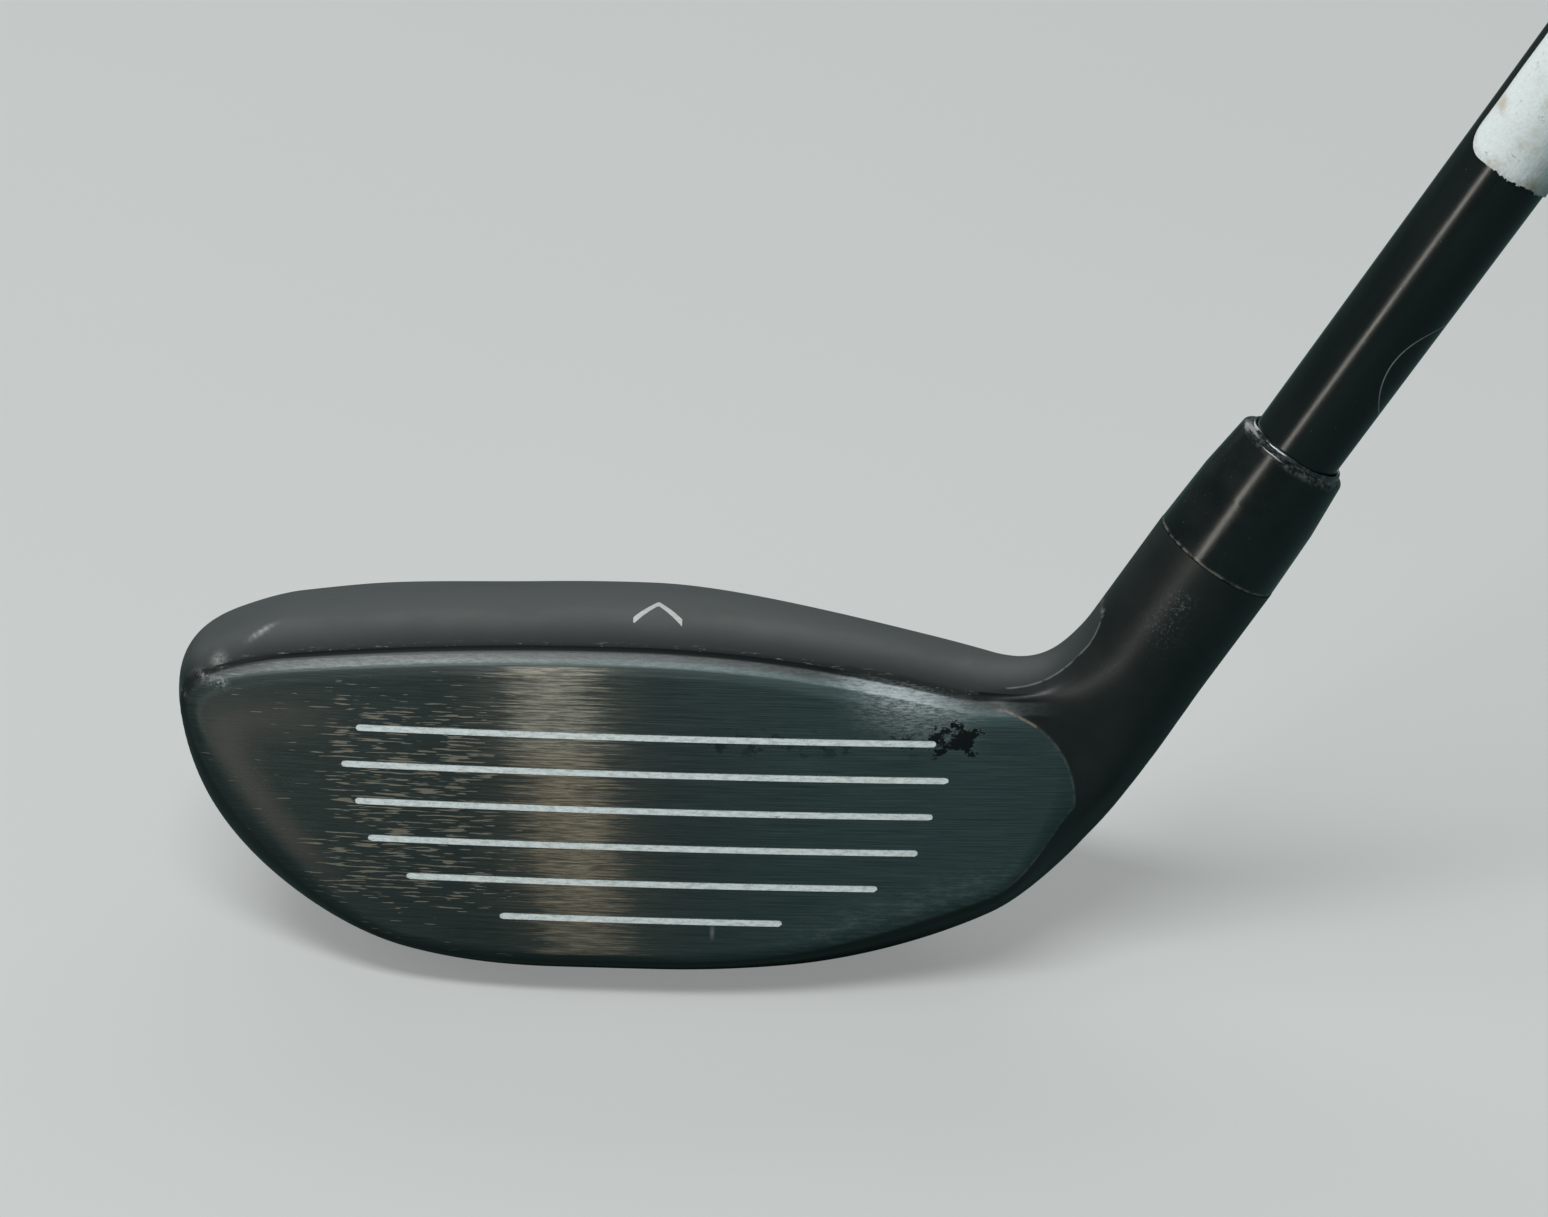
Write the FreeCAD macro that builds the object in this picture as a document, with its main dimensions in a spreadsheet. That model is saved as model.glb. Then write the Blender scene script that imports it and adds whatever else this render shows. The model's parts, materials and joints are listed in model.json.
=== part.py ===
import FreeCAD, Part
import math
import os

import Sketcher

Vector = FreeCAD.Vector
PARTS_FOLDER = "parts"

doc = FreeCAD.newDocument("hybrid_club")
sheet = doc.addObject("Spreadsheet::Sheet", "Sheet")

# Driving dimensions in millimetres and degrees: name, value, what it is.
DIMENSIONS = [
    ("lie_angle", 59.0, "shaft axis above the ground, seen from the front"),
    ("loft_angle", 17.0, "face leaned back from vertical"),
    ("face_radius", 254.0, "bulge and roll of the face"),
    ("face_centre_height", 18.1, "face centre above the ground"),
    ("axis_offset_heel", 41.2, "shaft axis to face centre, towards the heel, at face centre height"),
    ("axis_offset_back", 12.0, "shaft axis behind the face centre"),
    ("foot_toeward", 230.9, "shaft axis at the ground from the footprint's middle, towards the toe"),
    ("foot_forward", 12.3, "shaft axis at the ground in front of the footprint's middle"),
    ("toe_reach", 40.3, "bowl centre to toe"),
    ("heel_reach", 59.0, "bowl centre to heel, before the neck blends in"),
    ("heel_taper", 0.45, "how fast the heel side closes in towards the back"),
    ("bowl_toeward", 8.0, "bowl centre from the face centre, towards the toe"),
    ("bowl_back", 12.0, "bowl centre behind the face centre"),
    ("bowl_top", 13.5, "widest level of the bowl above the face centre"),
    ("front_reach", 25.0, "bowl centre to its front, cut off by the face"),
    ("rear_reach", 44.0, "bowl centre to the back edge"),
    ("sole_depth", 31.6, "widest level down to the sole"),
    ("topline_height", 17.1, "topline above the face centre at its highest"),
    ("crown_rise", 1.1, "crown summit above the topline"),
    ("crown_curve", 0.0093, "crown fall towards the back, per mm"),
    ("neck_radius", 6.82, "outer radius of the hosel"),
    ("neck_blend", 10.0, "softness where neck and body meet"),
    ("heel_blend_cut", 3.0, "how much sharper that is on the outer side of the heel"),
    ("hosel_top", 31.5, "hosel end along the axis from face centre height"),
    ("wall", 1.15, "wall of the hollow body and crown"),
    ("cavity_heel_end", 25.0, "hollow stops here, towards the heel"),
    ("plate_thickness", 2.3, "face plate"),
    ("plate_inset", 1.1, "face plate edge inside the outer skin"),
    ("heel_circle_radius", 9.7, "heel end of the flat face"),
    ("heel_circle_x", 34.3, "centre of that circle, towards the heel"),
    ("heel_circle_up", 3.2, "centre of that circle, up the face"),
    ("heel_flare", 0.75, "steepness of the neck in front of the face"),
    ("groove_pitch", 3.74, "groove spacing"),
    ("groove_width", 0.7, "groove width at the surface"),
    ("groove_depth", 0.45, "groove depth"),
    ("paint_recess", 0.08, "paint level below the face"),
    ("crown_seam_gap", 1.25, "crown edge behind the face surface"),
    ("crown_seam_front", 12.3, "crown seam above face centre at the front"),
    ("crown_seam_slope", 0.21, "fall of the crown seam towards the back"),
    ("crown_neck_radius", 15.0, "round end of the crown around the neck"),
    ("mark_span", 5.0, "alignment chevron, toe to heel"),
    ("mark_rise", 5.0, "alignment chevron, front to back along its edge"),
    ("mark_stroke", 1.5, "alignment chevron's stroke, front to back"),
    ("mark_depth", 0.06, "alignment mark ink thickness"),
    ("badge_length", 32.0, "sole badge length"),
    ("badge_width", 13.0, "sole badge width"),
    ("badge_depth", 0.6, "sole badge thickness"),
    ("adhesive_depth", 0.12, "film under the sole badge"),
    ("port_tilt", 28.0, "weight port axis off vertical"),
    ("port_back", 37.0, "weight port behind the face centre"),
    ("port_toeward", 7.0, "weight port from the face centre, towards the toe"),
    ("port_radius", 6.3, "counterbore for the weight head"),
    ("port_depth", 4.8, "counterbore depth"),
    ("thread_radius", 3.0, "threaded hole wall, drawn plain"),
    ("thread_end", 12.4, "threaded hole end below the surface"),
    ("boss_radius", 8.4, "boss around the weight"),
    ("boss_end", 14.2, "boss end below the surface"),
    ("screw_head_radius", 6.1, "weight head"),
    ("screw_head_sunk", 0.7, "weight head below the sole"),
    ("screw_head_base", 4.0, "underside of the weight head below the surface"),
    ("screw_shank_radius", 2.92, "weight shank, crests of the thread"),
    ("screw_root_radius", 2.45, "weight shank, roots of the thread"),
    ("screw_end", 11.6, "tip of the weight below the surface"),
    ("screw_pitch", 1.0, "thread pitch"),
    ("socket_width", 4.4, "key socket across flats"),
    ("socket_depth", 2.2, "key socket depth"),
    ("washer_radius", 5.9, "washer outside"),
    ("washer_bore", 3.02, "washer inside"),
    ("bore_radius", 4.82, "hosel bore"),
    ("plug_base", 27.4, "bottom of the hosel bore, along the axis from the ground"),
    ("tip_station", 29.0, "shaft tip"),
    ("seam_station", 52.616, "hosel top, where the ferrule sits"),
    ("ferrule_top", 66.3, "top of the ferrule"),
    ("taper_start", 67.4, "shaft starts to swell"),
    ("taper_end", 760.0, "shaft reaches its butt size"),
    ("butt_station", 1025.0, "shaft butt end"),
    ("tip_radius", 4.7, "shaft tip outside"),
    ("tip_bore", 3.1, "shaft tip inside"),
    ("butt_radius", 7.62, "shaft butt outside"),
    ("butt_bore", 6.5, "shaft butt inside"),
    ("ferrule_base_radius", 6.8, "ferrule where it meets the hosel"),
    ("ferrule_top_radius", 5.85, "ferrule at its top"),
    ("ferrule_shoulder", 0.7, "ferrule top edge"),
    ("bead_radius", 5.25, "adhesive bead around the shaft"),
    ("bead_height", 0.55, "adhesive bead height"),
    ("slug_base", 31.0, "swing-weight slug bottom"),
    ("slug_top", 46.0, "swing-weight slug top"),
    ("slug_radius", 3.06, "swing-weight slug"),
    ("slug_neck", 2.5, "glue groove in the slug"),
    ("cork_top", 54.0, "cork top"),
    ("label_start", 101.7, "label lower edge"),
    ("label_end", 160.0, "label upper edge"),
    ("label_thickness", 0.12, "label paper"),
    ("label_from", 105.0, "label edge around the shaft, from the back of the club"),
    ("label_sweep", 225.0, "label wrap"),
    ("label_corner", 2.6, "label rounded corner"),
    ("tape_start", 766.0, "grip tape lower end"),
    ("tape_thickness", 0.16, "grip tape"),
    ("grip_start", 763.0, "grip mouth"),
    ("grip_mouth_radius", 9.7, "grip mouth outside"),
    ("grip_butt_radius", 13.3, "grip at the butt"),
    ("grip_lip", 1.2, "rounded lip at the mouth"),
    ("ring_groove_depth", 0.45, "mouth ring grooves"),
    ("ring_groove_width", 1.1, "mouth ring grooves"),
    ("ring_groove_pitch", 3.0, "mouth ring groove spacing"),
    ("cap_thickness", 4.0, "butt cap"),
    ("cap_chamfer", 1.4, "butt cap edge"),
    ("vent_radius", 1.6, "vent hole in the cap"),
]

GROOVE_HALF_LENGTHS = (29.5, 30.9, 29.4, 28.0, 24.0, 14.4)

for row, (alias, value, meaning) in enumerate(DIMENSIONS, start=1):
    sheet.set(f"A{row}", meaning)
    sheet.set(f"B{row}", str(value))
    sheet.setAlias(f"B{row}", alias)
doc.recompute()


def dim(alias):
    return float(sheet.get(alias))


LIE = math.radians(dim("lie_angle"))
LOFT = math.radians(dim("loft_angle"))
COS_LIE, SIN_LIE = math.cos(LIE), math.sin(LIE)
COS_LOFT, SIN_LOFT = math.cos(LOFT), math.sin(LOFT)
AXIS_X, AXIS_Y = dim("axis_offset_heel"), dim("axis_offset_back")
FACE_RADIUS = dim("face_radius")

# The club's origin is the middle of its footprint on the ground. Shaft pieces are drawn along
# the shaft axis from its foot, the point where that axis meets the ground. The head is drawn
# about the face centre, and HEAD_SHIFT moves it into place.
SHAFT_FOOT = Vector(-dim("foot_toeward"), -dim("foot_forward"), 0)
HEAD_SHIFT = SHAFT_FOOT + Vector(
    dim("face_centre_height") * COS_LIE / SIN_LIE - AXIS_X,
    -AXIS_Y,
    dim("face_centre_height"),
)
SHAFT_AXIS = Vector(COS_LIE, 0, SIN_LIE)
SHAFT_PLACEMENT = FreeCAD.Placement(SHAFT_FOOT, FreeCAD.Rotation(Vector(0, 0, 1), SHAFT_AXIS))
FACE_NORMAL = Vector(0, -COS_LOFT, SIN_LOFT)
FACE_UP = Vector(0, SIN_LOFT, COS_LOFT)
FACE_SPHERE_CENTRE = FACE_NORMAL * -FACE_RADIUS


# ---------------------------------------------------------------- head shape

def soft_max(a, b, softness):
    overlap = max(softness - abs(a - b), 0.0) / softness
    return max(a, b) + overlap * overlap * softness * 0.25


def soft_min(a, b, softness):
    return -soft_max(-a, -b, softness)


def ease(start, end, x):
    part = min(1.0, max(0.0, (x - start) / (end - start)))
    return part * part * (3 - 2 * part)


def topline(x):
    """Height of the topline above the face centre."""
    peak_x = -2.0
    curve = 0.0022 if x < peak_x else 0.0037
    return dim_topline - curve * (x - peak_x) ** 2


def bowl(x, y, z):
    """Sole, skirt, toe and back as one rounded bowl; negative inside."""
    behind = max(y - 10.0, 0.0)
    depth = dim_sole_depth - 1.8 * ease(15.0, 46.0, x)
    across = x + 0.10 * behind + dim_bowl_toeward
    if across < 0:
        reach, power = dim_toe_reach, 2.3
    else:
        reach = dim_heel_reach - dim_heel_taper * behind
        power = 3.8 - 1.8 * ease(12.0, 34.0, y)
    if y < dim_bowl_back:
        length = dim_front_reach - 6.5 * ease(-24.0, -44.0, x)
        length -= 6.0 * ease(2.0, 36.0, x) + 8.5 * ease(36.0, 47.0, x)
    else:
        length = dim_rear_reach
    a = abs(across) / reach
    b = abs(y - dim_bowl_back) / length
    c = max(dim_bowl_top - z, 0.0) / depth
    level = a ** power + b ** 2.5 + c ** 2.4 - 1.0
    slope = math.sqrt(
        (power * a ** (power - 1) / reach) ** 2
        + (2.5 * b ** 1.5 / length) ** 2
        + (2.4 * c ** 1.4 / depth) ** 2
    )
    return level / max(slope, 0.03)


def crown(x, y, z):
    """Crown with its rolled front edge; negative below it."""
    start_y = 10.0
    edge = topline(x)
    curve = dim_crown_curve - 0.0012 * ease(-12.0, -32.0, x) + 0.0040 * ease(0.0, 30.0, x)
    fall = 2 * curve * (y - start_y)
    summit = edge + dim_crown_rise - 0.05 * max(-38.0 - x, 0.0) ** 1.6
    dome = (z - summit + curve * (y - start_y) ** 2) / math.sqrt(1 + fall * fall)
    edge_y = edge * SIN_LOFT / COS_LOFT + x * x / (2 * FACE_RADIUS)
    roll_angle = math.radians(33.0)
    roll = (z - edge - 0.3) * math.cos(roll_angle) - (y - edge_y) * math.sin(roll_angle)
    return soft_max(dome, roll, 5.0)


def neck(x, y, z):
    """Hosel cylinder, closed softly inside the heel; negative inside."""
    along = (x - AXIS_X) * COS_LIE + z * SIN_LIE
    side = (x - AXIS_X) * SIN_LIE - z * COS_LIE
    tube = math.hypot(side, y - AXIS_Y) - dim_neck_radius
    return soft_max(tube, 8.0 - along, 9.0)


def head_field(x, y, z):
    """Head before the face is cut: below zero inside, about a distance outside."""
    edge_softness = 5.0 - 2.2 * ease(-25.0, -42.0, x)
    shell = soft_max(crown(x, y, z), bowl(x, y, z), edge_softness)
    blend = dim_neck_blend - dim_heel_blend_cut * ease(45.0, 52.0, x) * ease(17.0, 9.0, z)
    return soft_min(shell, neck(x, y, z), blend)


dim_topline = dim("topline_height")
dim_sole_depth = dim("sole_depth")
dim_bowl_toeward = dim("bowl_toeward")
dim_bowl_back = dim("bowl_back")
dim_bowl_top = dim("bowl_top")
dim_toe_reach = dim("toe_reach")
dim_heel_reach = dim("heel_reach")
dim_heel_taper = dim("heel_taper")
dim_front_reach = dim("front_reach")
dim_rear_reach = dim("rear_reach")
dim_crown_rise = dim("crown_rise")
dim_crown_curve = dim("crown_curve")
dim_neck_radius = dim("neck_radius")
dim_neck_blend = dim("neck_blend")
dim_heel_blend_cut = dim("heel_blend_cut")


def reach_from(origin, direction, level, limit=95.0):
    """Distance from a point inside to where the head field passes a level."""
    low, high = 0.0, 0.5
    while high < limit:
        p = origin + direction * high
        if head_field(p.x, p.y, p.z) >= level:
            break
        low, high = high, high + 1.0
    for _ in range(24):
        middle = (low + high) / 2
        p = origin + direction * middle
        if head_field(p.x, p.y, p.z) < level:
            low = middle
        else:
            high = middle
    return (low + high) / 2


# ------------------------------------------------------------- head sections

SECTION_Y = Vector(0, 1, 0)
PIVOT = Vector(36.2, 0, 26.5)      # sections fan about this line to follow the neck
TOE_CENTRE = Vector(-30.0, 19.0, 7.5)
POINTS_AROUND = 64


def toe_end(level):
    reach = reach_from(TOE_CENTRE, Vector(-1, 0, 0), level)
    return TOE_CENTRE.x - reach


def upright_sections(level, last_x):
    """Section planes square to X, from the toe towards the heel."""
    toe = toe_end(level)
    stations = [toe + step for step in (0.1, 0.4, 1.0, 2.0, 3.5, 5.5, 8.0, 11.0)]
    x = toe + 14.5
    while x < last_x - 2.0:
        stations.append(x)
        x += 4.4 if x < 16.0 else 3.2
    stations.append(last_x)
    sections = []
    for x in stations:
        spread = ease(toe, toe + 12.0, x)
        narrow = ease(5.0, PIVOT.x, x)
        y = TOE_CENTRE.y + (14.0 - TOE_CENTRE.y) * spread + (AXIS_Y - 14.0) * narrow
        z = TOE_CENTRE.z + (1.5 - TOE_CENTRE.z) * spread + (5.0 - 1.5) * narrow
        sections.append((Vector(x, y, z), Vector(0, 0, 1)))
    return sections


def neck_sections():
    """Section planes fanned round the neck and then square to the hosel."""
    sections = []
    fans = 9
    near, far = 21.5, 17.9
    for index in range(1, fans + 1):
        angle = LIE * index / fans
        blend = ease(0.0, 1.0, index / fans)
        up = Vector(-math.sin(angle), 0, math.cos(angle))
        centre = PIVOT - up * (near + (far - near) * blend)
        centre.y = AXIS_Y
        sections.append((centre, up))
    for along in (24.0, 28.0, dim("hosel_top")):
        centre = Vector(AXIS_X + COS_LIE * along, AXIS_Y, SIN_LIE * along)
        sections.append((centre, Vector(-SIN_LIE, 0, COS_LIE)))
    return sections


def ring_points(section, level):
    centre, up = section
    points = []
    for index in range(POINTS_AROUND):
        angle = 2 * math.pi * index / POINTS_AROUND
        direction = SECTION_Y * math.cos(angle) + up * math.sin(angle)
        points.append(centre + direction * reach_from(centre, direction, level))
    return points


def skin_surface(rings):
    """Smooth cubic surface, closed around, that passes through every ring."""
    count = len(rings)
    last = count - 3
    knots_along = list(range(last + 1))
    repeats_along = [4] + [1] * (last - 1) + [4]
    knots_around = list(range(POINTS_AROUND + 1))
    repeats_around = [1] * (POINTS_AROUND + 1)
    full = [0] * 3 + knots_along + [last] * 3
    along = [sum(full[i + 1:i + 4]) / 3.0 for i in range(count)]
    poles = [[Vector(point) for point in ring] for ring in rings]
    surface = Part.BSplineSurface()
    rounds = 6
    for turn in range(rounds + 1):
        surface.buildFromPolesMultsKnots(
            poles, repeats_along, repeats_around, knots_along, knots_around, False, True, 3, 3)
        if turn == rounds:
            break
        if turn == 0:
            middle = count // 2
            shift = min(
                range(POINTS_AROUND),
                key=lambda v: (surface.value(along[middle], v) - rings[middle][0]).Length)
        for i in range(count):
            for j in range(POINTS_AROUND):
                reached = surface.value(along[i], (j + shift) % POINTS_AROUND)
                poles[i][j] = poles[i][j] + rings[i][j] - reached
    return surface, last


def skin_solid(rings):
    surface, last = skin_surface(rings)
    faces = [surface.toShape()]
    for end in (0, last):
        faces.append(Part.Face(Part.Wire([surface.uIso(end).toShape()])))
    sewn = Part.Compound(faces)
    sewn.sewShape()
    shell = sewn.Shells[0] if sewn.Shells else Part.makeShell(faces)
    solid = Part.Solid(shell)
    if solid.Volume < 0:
        solid.reverse()
    return solid


def outer_skin():
    sections = upright_sections(0.0, PIVOT.x) + neck_sections()
    return skin_solid([ring_points(section, 0.0) for section in sections])


def inner_skin(level, last_x):
    sections = upright_sections(level, last_x)
    return skin_solid([ring_points(section, level) for section in sections])


# ----------------------------------------------------------------- face tools

def face_point(x, up, out):
    """Point from face coordinates: across, up the face and out of it."""
    return Vector(x, 0, 0) + FACE_UP * up + FACE_NORMAL * out


def on_sphere(x, up):
    """Depth of the curved face behind its centre plane."""
    return math.sqrt(FACE_RADIUS ** 2 - x * x - up * up) - FACE_RADIUS


def sphere_shell(inner, outer):
    """Slice of a thick sphere around the face, between two radii."""
    half_angle = math.radians(16.0)
    sweep = 22.0

    def at(radius, angle):
        across = Vector(1, 0, 0) * math.sin(angle)
        return FACE_SPHERE_CENTRE + (FACE_NORMAL * math.cos(angle) + across) * radius

    def arc(radius, start, end):
        return Part.Arc(at(radius, start), at(radius, 0.0), at(radius, end)).toShape()

    edges = [
        arc(inner, -half_angle, half_angle),
        Part.makeLine(at(inner, half_angle), at(outer, half_angle)),
        arc(outer, half_angle, -half_angle),
        Part.makeLine(at(outer, -half_angle), at(inner, -half_angle)),
    ]
    profile = Part.Face(Part.Wire(edges))
    profile.rotate(FACE_SPHERE_CENTRE, Vector(1, 0, 0), -sweep / 2)
    return profile.revolve(FACE_SPHERE_CENTRE, Vector(1, 0, 0), sweep)


HEEL_X, HEEL_UP = dim("heel_circle_x"), dim("heel_circle_up")
HEEL_RADIUS = dim("heel_circle_radius")
WIDE_X, WIDE_UP, WIDE_RADIUS = -34.3, 1.2, 40.3      # far end of the face opening, past the toe


def opening_wire(grow, out):
    """Outline of the face opening: small circle at the heel, wide circle past the toe."""
    span = math.hypot(HEEL_X - WIDE_X, HEEL_UP - WIDE_UP)
    run, rise = (HEEL_X - WIDE_X) / span, (HEEL_UP - WIDE_UP) / span
    lean = (WIDE_RADIUS - HEEL_RADIUS) / span
    square = math.sqrt(1 - lean * lean)

    def tangent(cx, cu, radius, side):
        x = cx + radius * (lean * run - side * square * rise)
        up = cu + radius * (lean * rise + side * square * run)
        return face_point(x, up, out)

    small, big = HEEL_RADIUS + grow, WIDE_RADIUS + grow
    heel_top = tangent(HEEL_X, HEEL_UP, small, 1)
    heel_low = tangent(HEEL_X, HEEL_UP, small, -1)
    toe_top = tangent(WIDE_X, WIDE_UP, big, 1)
    toe_low = tangent(WIDE_X, WIDE_UP, big, -1)
    heel_tip = face_point(HEEL_X + small * run, HEEL_UP + small * rise, out)
    toe_tip = face_point(WIDE_X - big * run, WIDE_UP - big * rise, out)
    return Part.Wire([
        Part.Arc(heel_top, heel_tip, heel_low).toShape(),
        Part.makeLine(heel_low, toe_low),
        Part.Arc(toe_low, toe_tip, toe_top).toShape(),
        Part.makeLine(toe_top, heel_top),
    ])


def opening_distance(x, up):
    """Distance outside the face opening's outline."""
    span = math.hypot(HEEL_X - WIDE_X, HEEL_UP - WIDE_UP)
    run, rise = (HEEL_X - WIDE_X) / span, (HEEL_UP - WIDE_UP) / span
    lean = (WIDE_RADIUS - HEEL_RADIUS) / span
    square = math.sqrt(1 - lean * lean)
    along = (x - WIDE_X) * run + (up - WIDE_UP) * rise
    off = abs((up - WIDE_UP) * run - (x - WIDE_X) * rise)
    if along * square - off * lean > span * square:
        return math.hypot(along - span, off) - HEEL_RADIUS
    return off * square + along * lean - WIDE_RADIUS


def front_space():
    """Everything in front of the face, flared at the heel where the neck stands forward."""
    flare = dim("heel_flare")
    base, front = -5.0, 25.0
    at_face = -3.6      # depth of the curved face at the heel end of the opening
    flared = Part.makeLoft([
        opening_wire((base - at_face) / flare, base),
        opening_wire((front - at_face) / flare, front),
    ], True, True)
    return flared.common(sphere_shell(FACE_RADIUS, FACE_RADIUS + 50.0))


def plate_prism():
    """Straight prism through the face, a little inside the outer edges of the head."""
    centre_x, centre_up = -3.0, 1.0
    inset = dim("plate_inset")
    points = []
    count = 48
    for index in range(count):
        angle = 2 * math.pi * index / count
        low, high = 2.0, 70.0
        for _ in range(30):
            middle = (low + high) / 2
            x = centre_x + middle * math.cos(angle)
            up = centre_up + middle * math.sin(angle)
            p = face_point(x, up, on_sphere(x, up))
            inside = max(head_field(p.x, p.y, p.z), opening_distance(x, up)) + inset
            if inside < 0:
                low = middle
            else:
                high = middle
        x = centre_x + low * math.cos(angle)
        up = centre_up + low * math.sin(angle)
        points.append(face_point(x, up, -12.0))
    curve = Part.BSplineCurve()
    curve.interpolate(Points=points, PeriodicFlag=True)
    return Part.Face(Part.Wire([curve.toShape()])).extrude(FACE_NORMAL * 20.0)


def slot_prism(half_length, width, up):
    """Round-ended bar standing through the face."""
    radius = width / 2
    out = -6.0
    straight = half_length - radius
    edges = [
        Part.makeLine(face_point(-straight, up + radius, out), face_point(straight, up + radius, out)),
        Part.Arc(
            face_point(straight, up + radius, out),
            face_point(half_length, up, out),
            face_point(straight, up - radius, out)).toShape(),
        Part.makeLine(face_point(straight, up - radius, out), face_point(-straight, up - radius, out)),
        Part.Arc(
            face_point(-straight, up - radius, out),
            face_point(-half_length, up, out),
            face_point(-straight, up + radius, out)).toShape(),
    ]
    return Part.Face(Part.Wire(edges)).extrude(FACE_NORMAL * 12.0)


def groove_bars():
    """The six scored lines, counted from the topline down."""
    pitch = dim("groove_pitch")
    bars = []
    for index, half_length in enumerate(GROOVE_HALF_LENGTHS):
        up = (2.5 - index) * pitch
        bars.append(slot_prism(half_length, dim("groove_width"), up))
    return bars


# ---------------------------------------------------------------- head pieces

def crown_region():
    """Space over the crown seam: above a sloped plane, behind the topline, short of the neck."""
    front_y, back_y, half_width = -20.0, 70.0, 80.0
    seam_front = dim("crown_seam_front")
    slope = dim("crown_seam_slope")
    start_y = 4.0
    high = 60.0
    corners = [
        Vector(-half_width, front_y, seam_front - slope * (front_y - start_y)),
        Vector(-half_width, back_y, seam_front - slope * (back_y - start_y)),
        Vector(-half_width, back_y, high),
        Vector(-half_width, front_y, high),
    ]
    side = Part.Face(Part.makePolygon(corners + corners[:1]))
    block = side.extrude(Vector(2 * half_width, 0, 0))
    behind = FACE_RADIUS - dim("crown_seam_gap")
    block = block.cut(sphere_shell(behind, FACE_RADIUS + 80.0))
    around_neck = Part.makeCylinder(
        dim("crown_neck_radius"), 120.0, Vector(AXIS_X + 7.0, AXIS_Y, -40.0), Vector(0, 0, 1))
    heel_side = Part.makeBox(60.0, 160.0, 160.0, Vector(AXIS_X + 2.0, -80.0, -80.0))
    return block.cut(around_neck).cut(heel_side)


def rounded_bar(length, width, centre, height):
    """Round-ended vertical prism, its long way from toe to heel."""
    radius = width / 2
    straight = length / 2 - radius

    def at(a, b):
        return centre + Vector(a, b, 0)

    edges = [
        Part.makeLine(at(-straight, -radius), at(straight, -radius)),
        Part.Arc(at(straight, -radius), at(length / 2, 0), at(straight, radius)).toShape(),
        Part.makeLine(at(straight, radius), at(-straight, radius)),
        Part.Arc(at(-straight, radius), at(-length / 2, 0), at(-straight, -radius)).toShape(),
    ]
    return Part.Face(Part.Wire(edges)).extrude(Vector(0, 0, height))


def moved(shape, vector):
    copy = shape.copy()
    copy.translate(vector)
    return copy


def port_frame():
    """Point on the sole at the weight port and the direction into the head."""
    tilt = math.radians(dim("port_tilt"))
    outward = Vector(0, math.sin(tilt), -math.cos(tilt))
    inside = Vector(-dim("port_toeward"), dim("port_back") - 8.0, 0.0)
    depth = reach_from(inside, outward, 0.0)
    return inside + outward * depth, outward * -1.0


def mark_prism():
    """Alignment mark: a plain chevron that points back."""
    half, rise, stroke = dim("mark_span") / 2, dim("mark_rise"), dim("mark_stroke")
    front = Vector(0.8, 11.0, 5.0)
    outline = [
        front + Vector(-half, 0, 0),
        front + Vector(0, rise, 0),
        front + Vector(half, 0, 0),
        front + Vector(half, stroke, 0),
        front + Vector(0, rise + stroke, 0),
        front + Vector(-half, stroke, 0),
        front + Vector(-half, 0, 0),
    ]
    return Part.Face(Part.makePolygon(outline)).extrude(Vector(0, 0, 25.0))


def axis_cylinder(radius, start, end):
    """Cylinder on the shaft axis between two stations measured from the ground."""
    base = SHAFT_FOOT + SHAFT_AXIS * start - HEAD_SHIFT
    return Part.makeCylinder(radius, end - start, base, SHAFT_AXIS)


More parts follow.
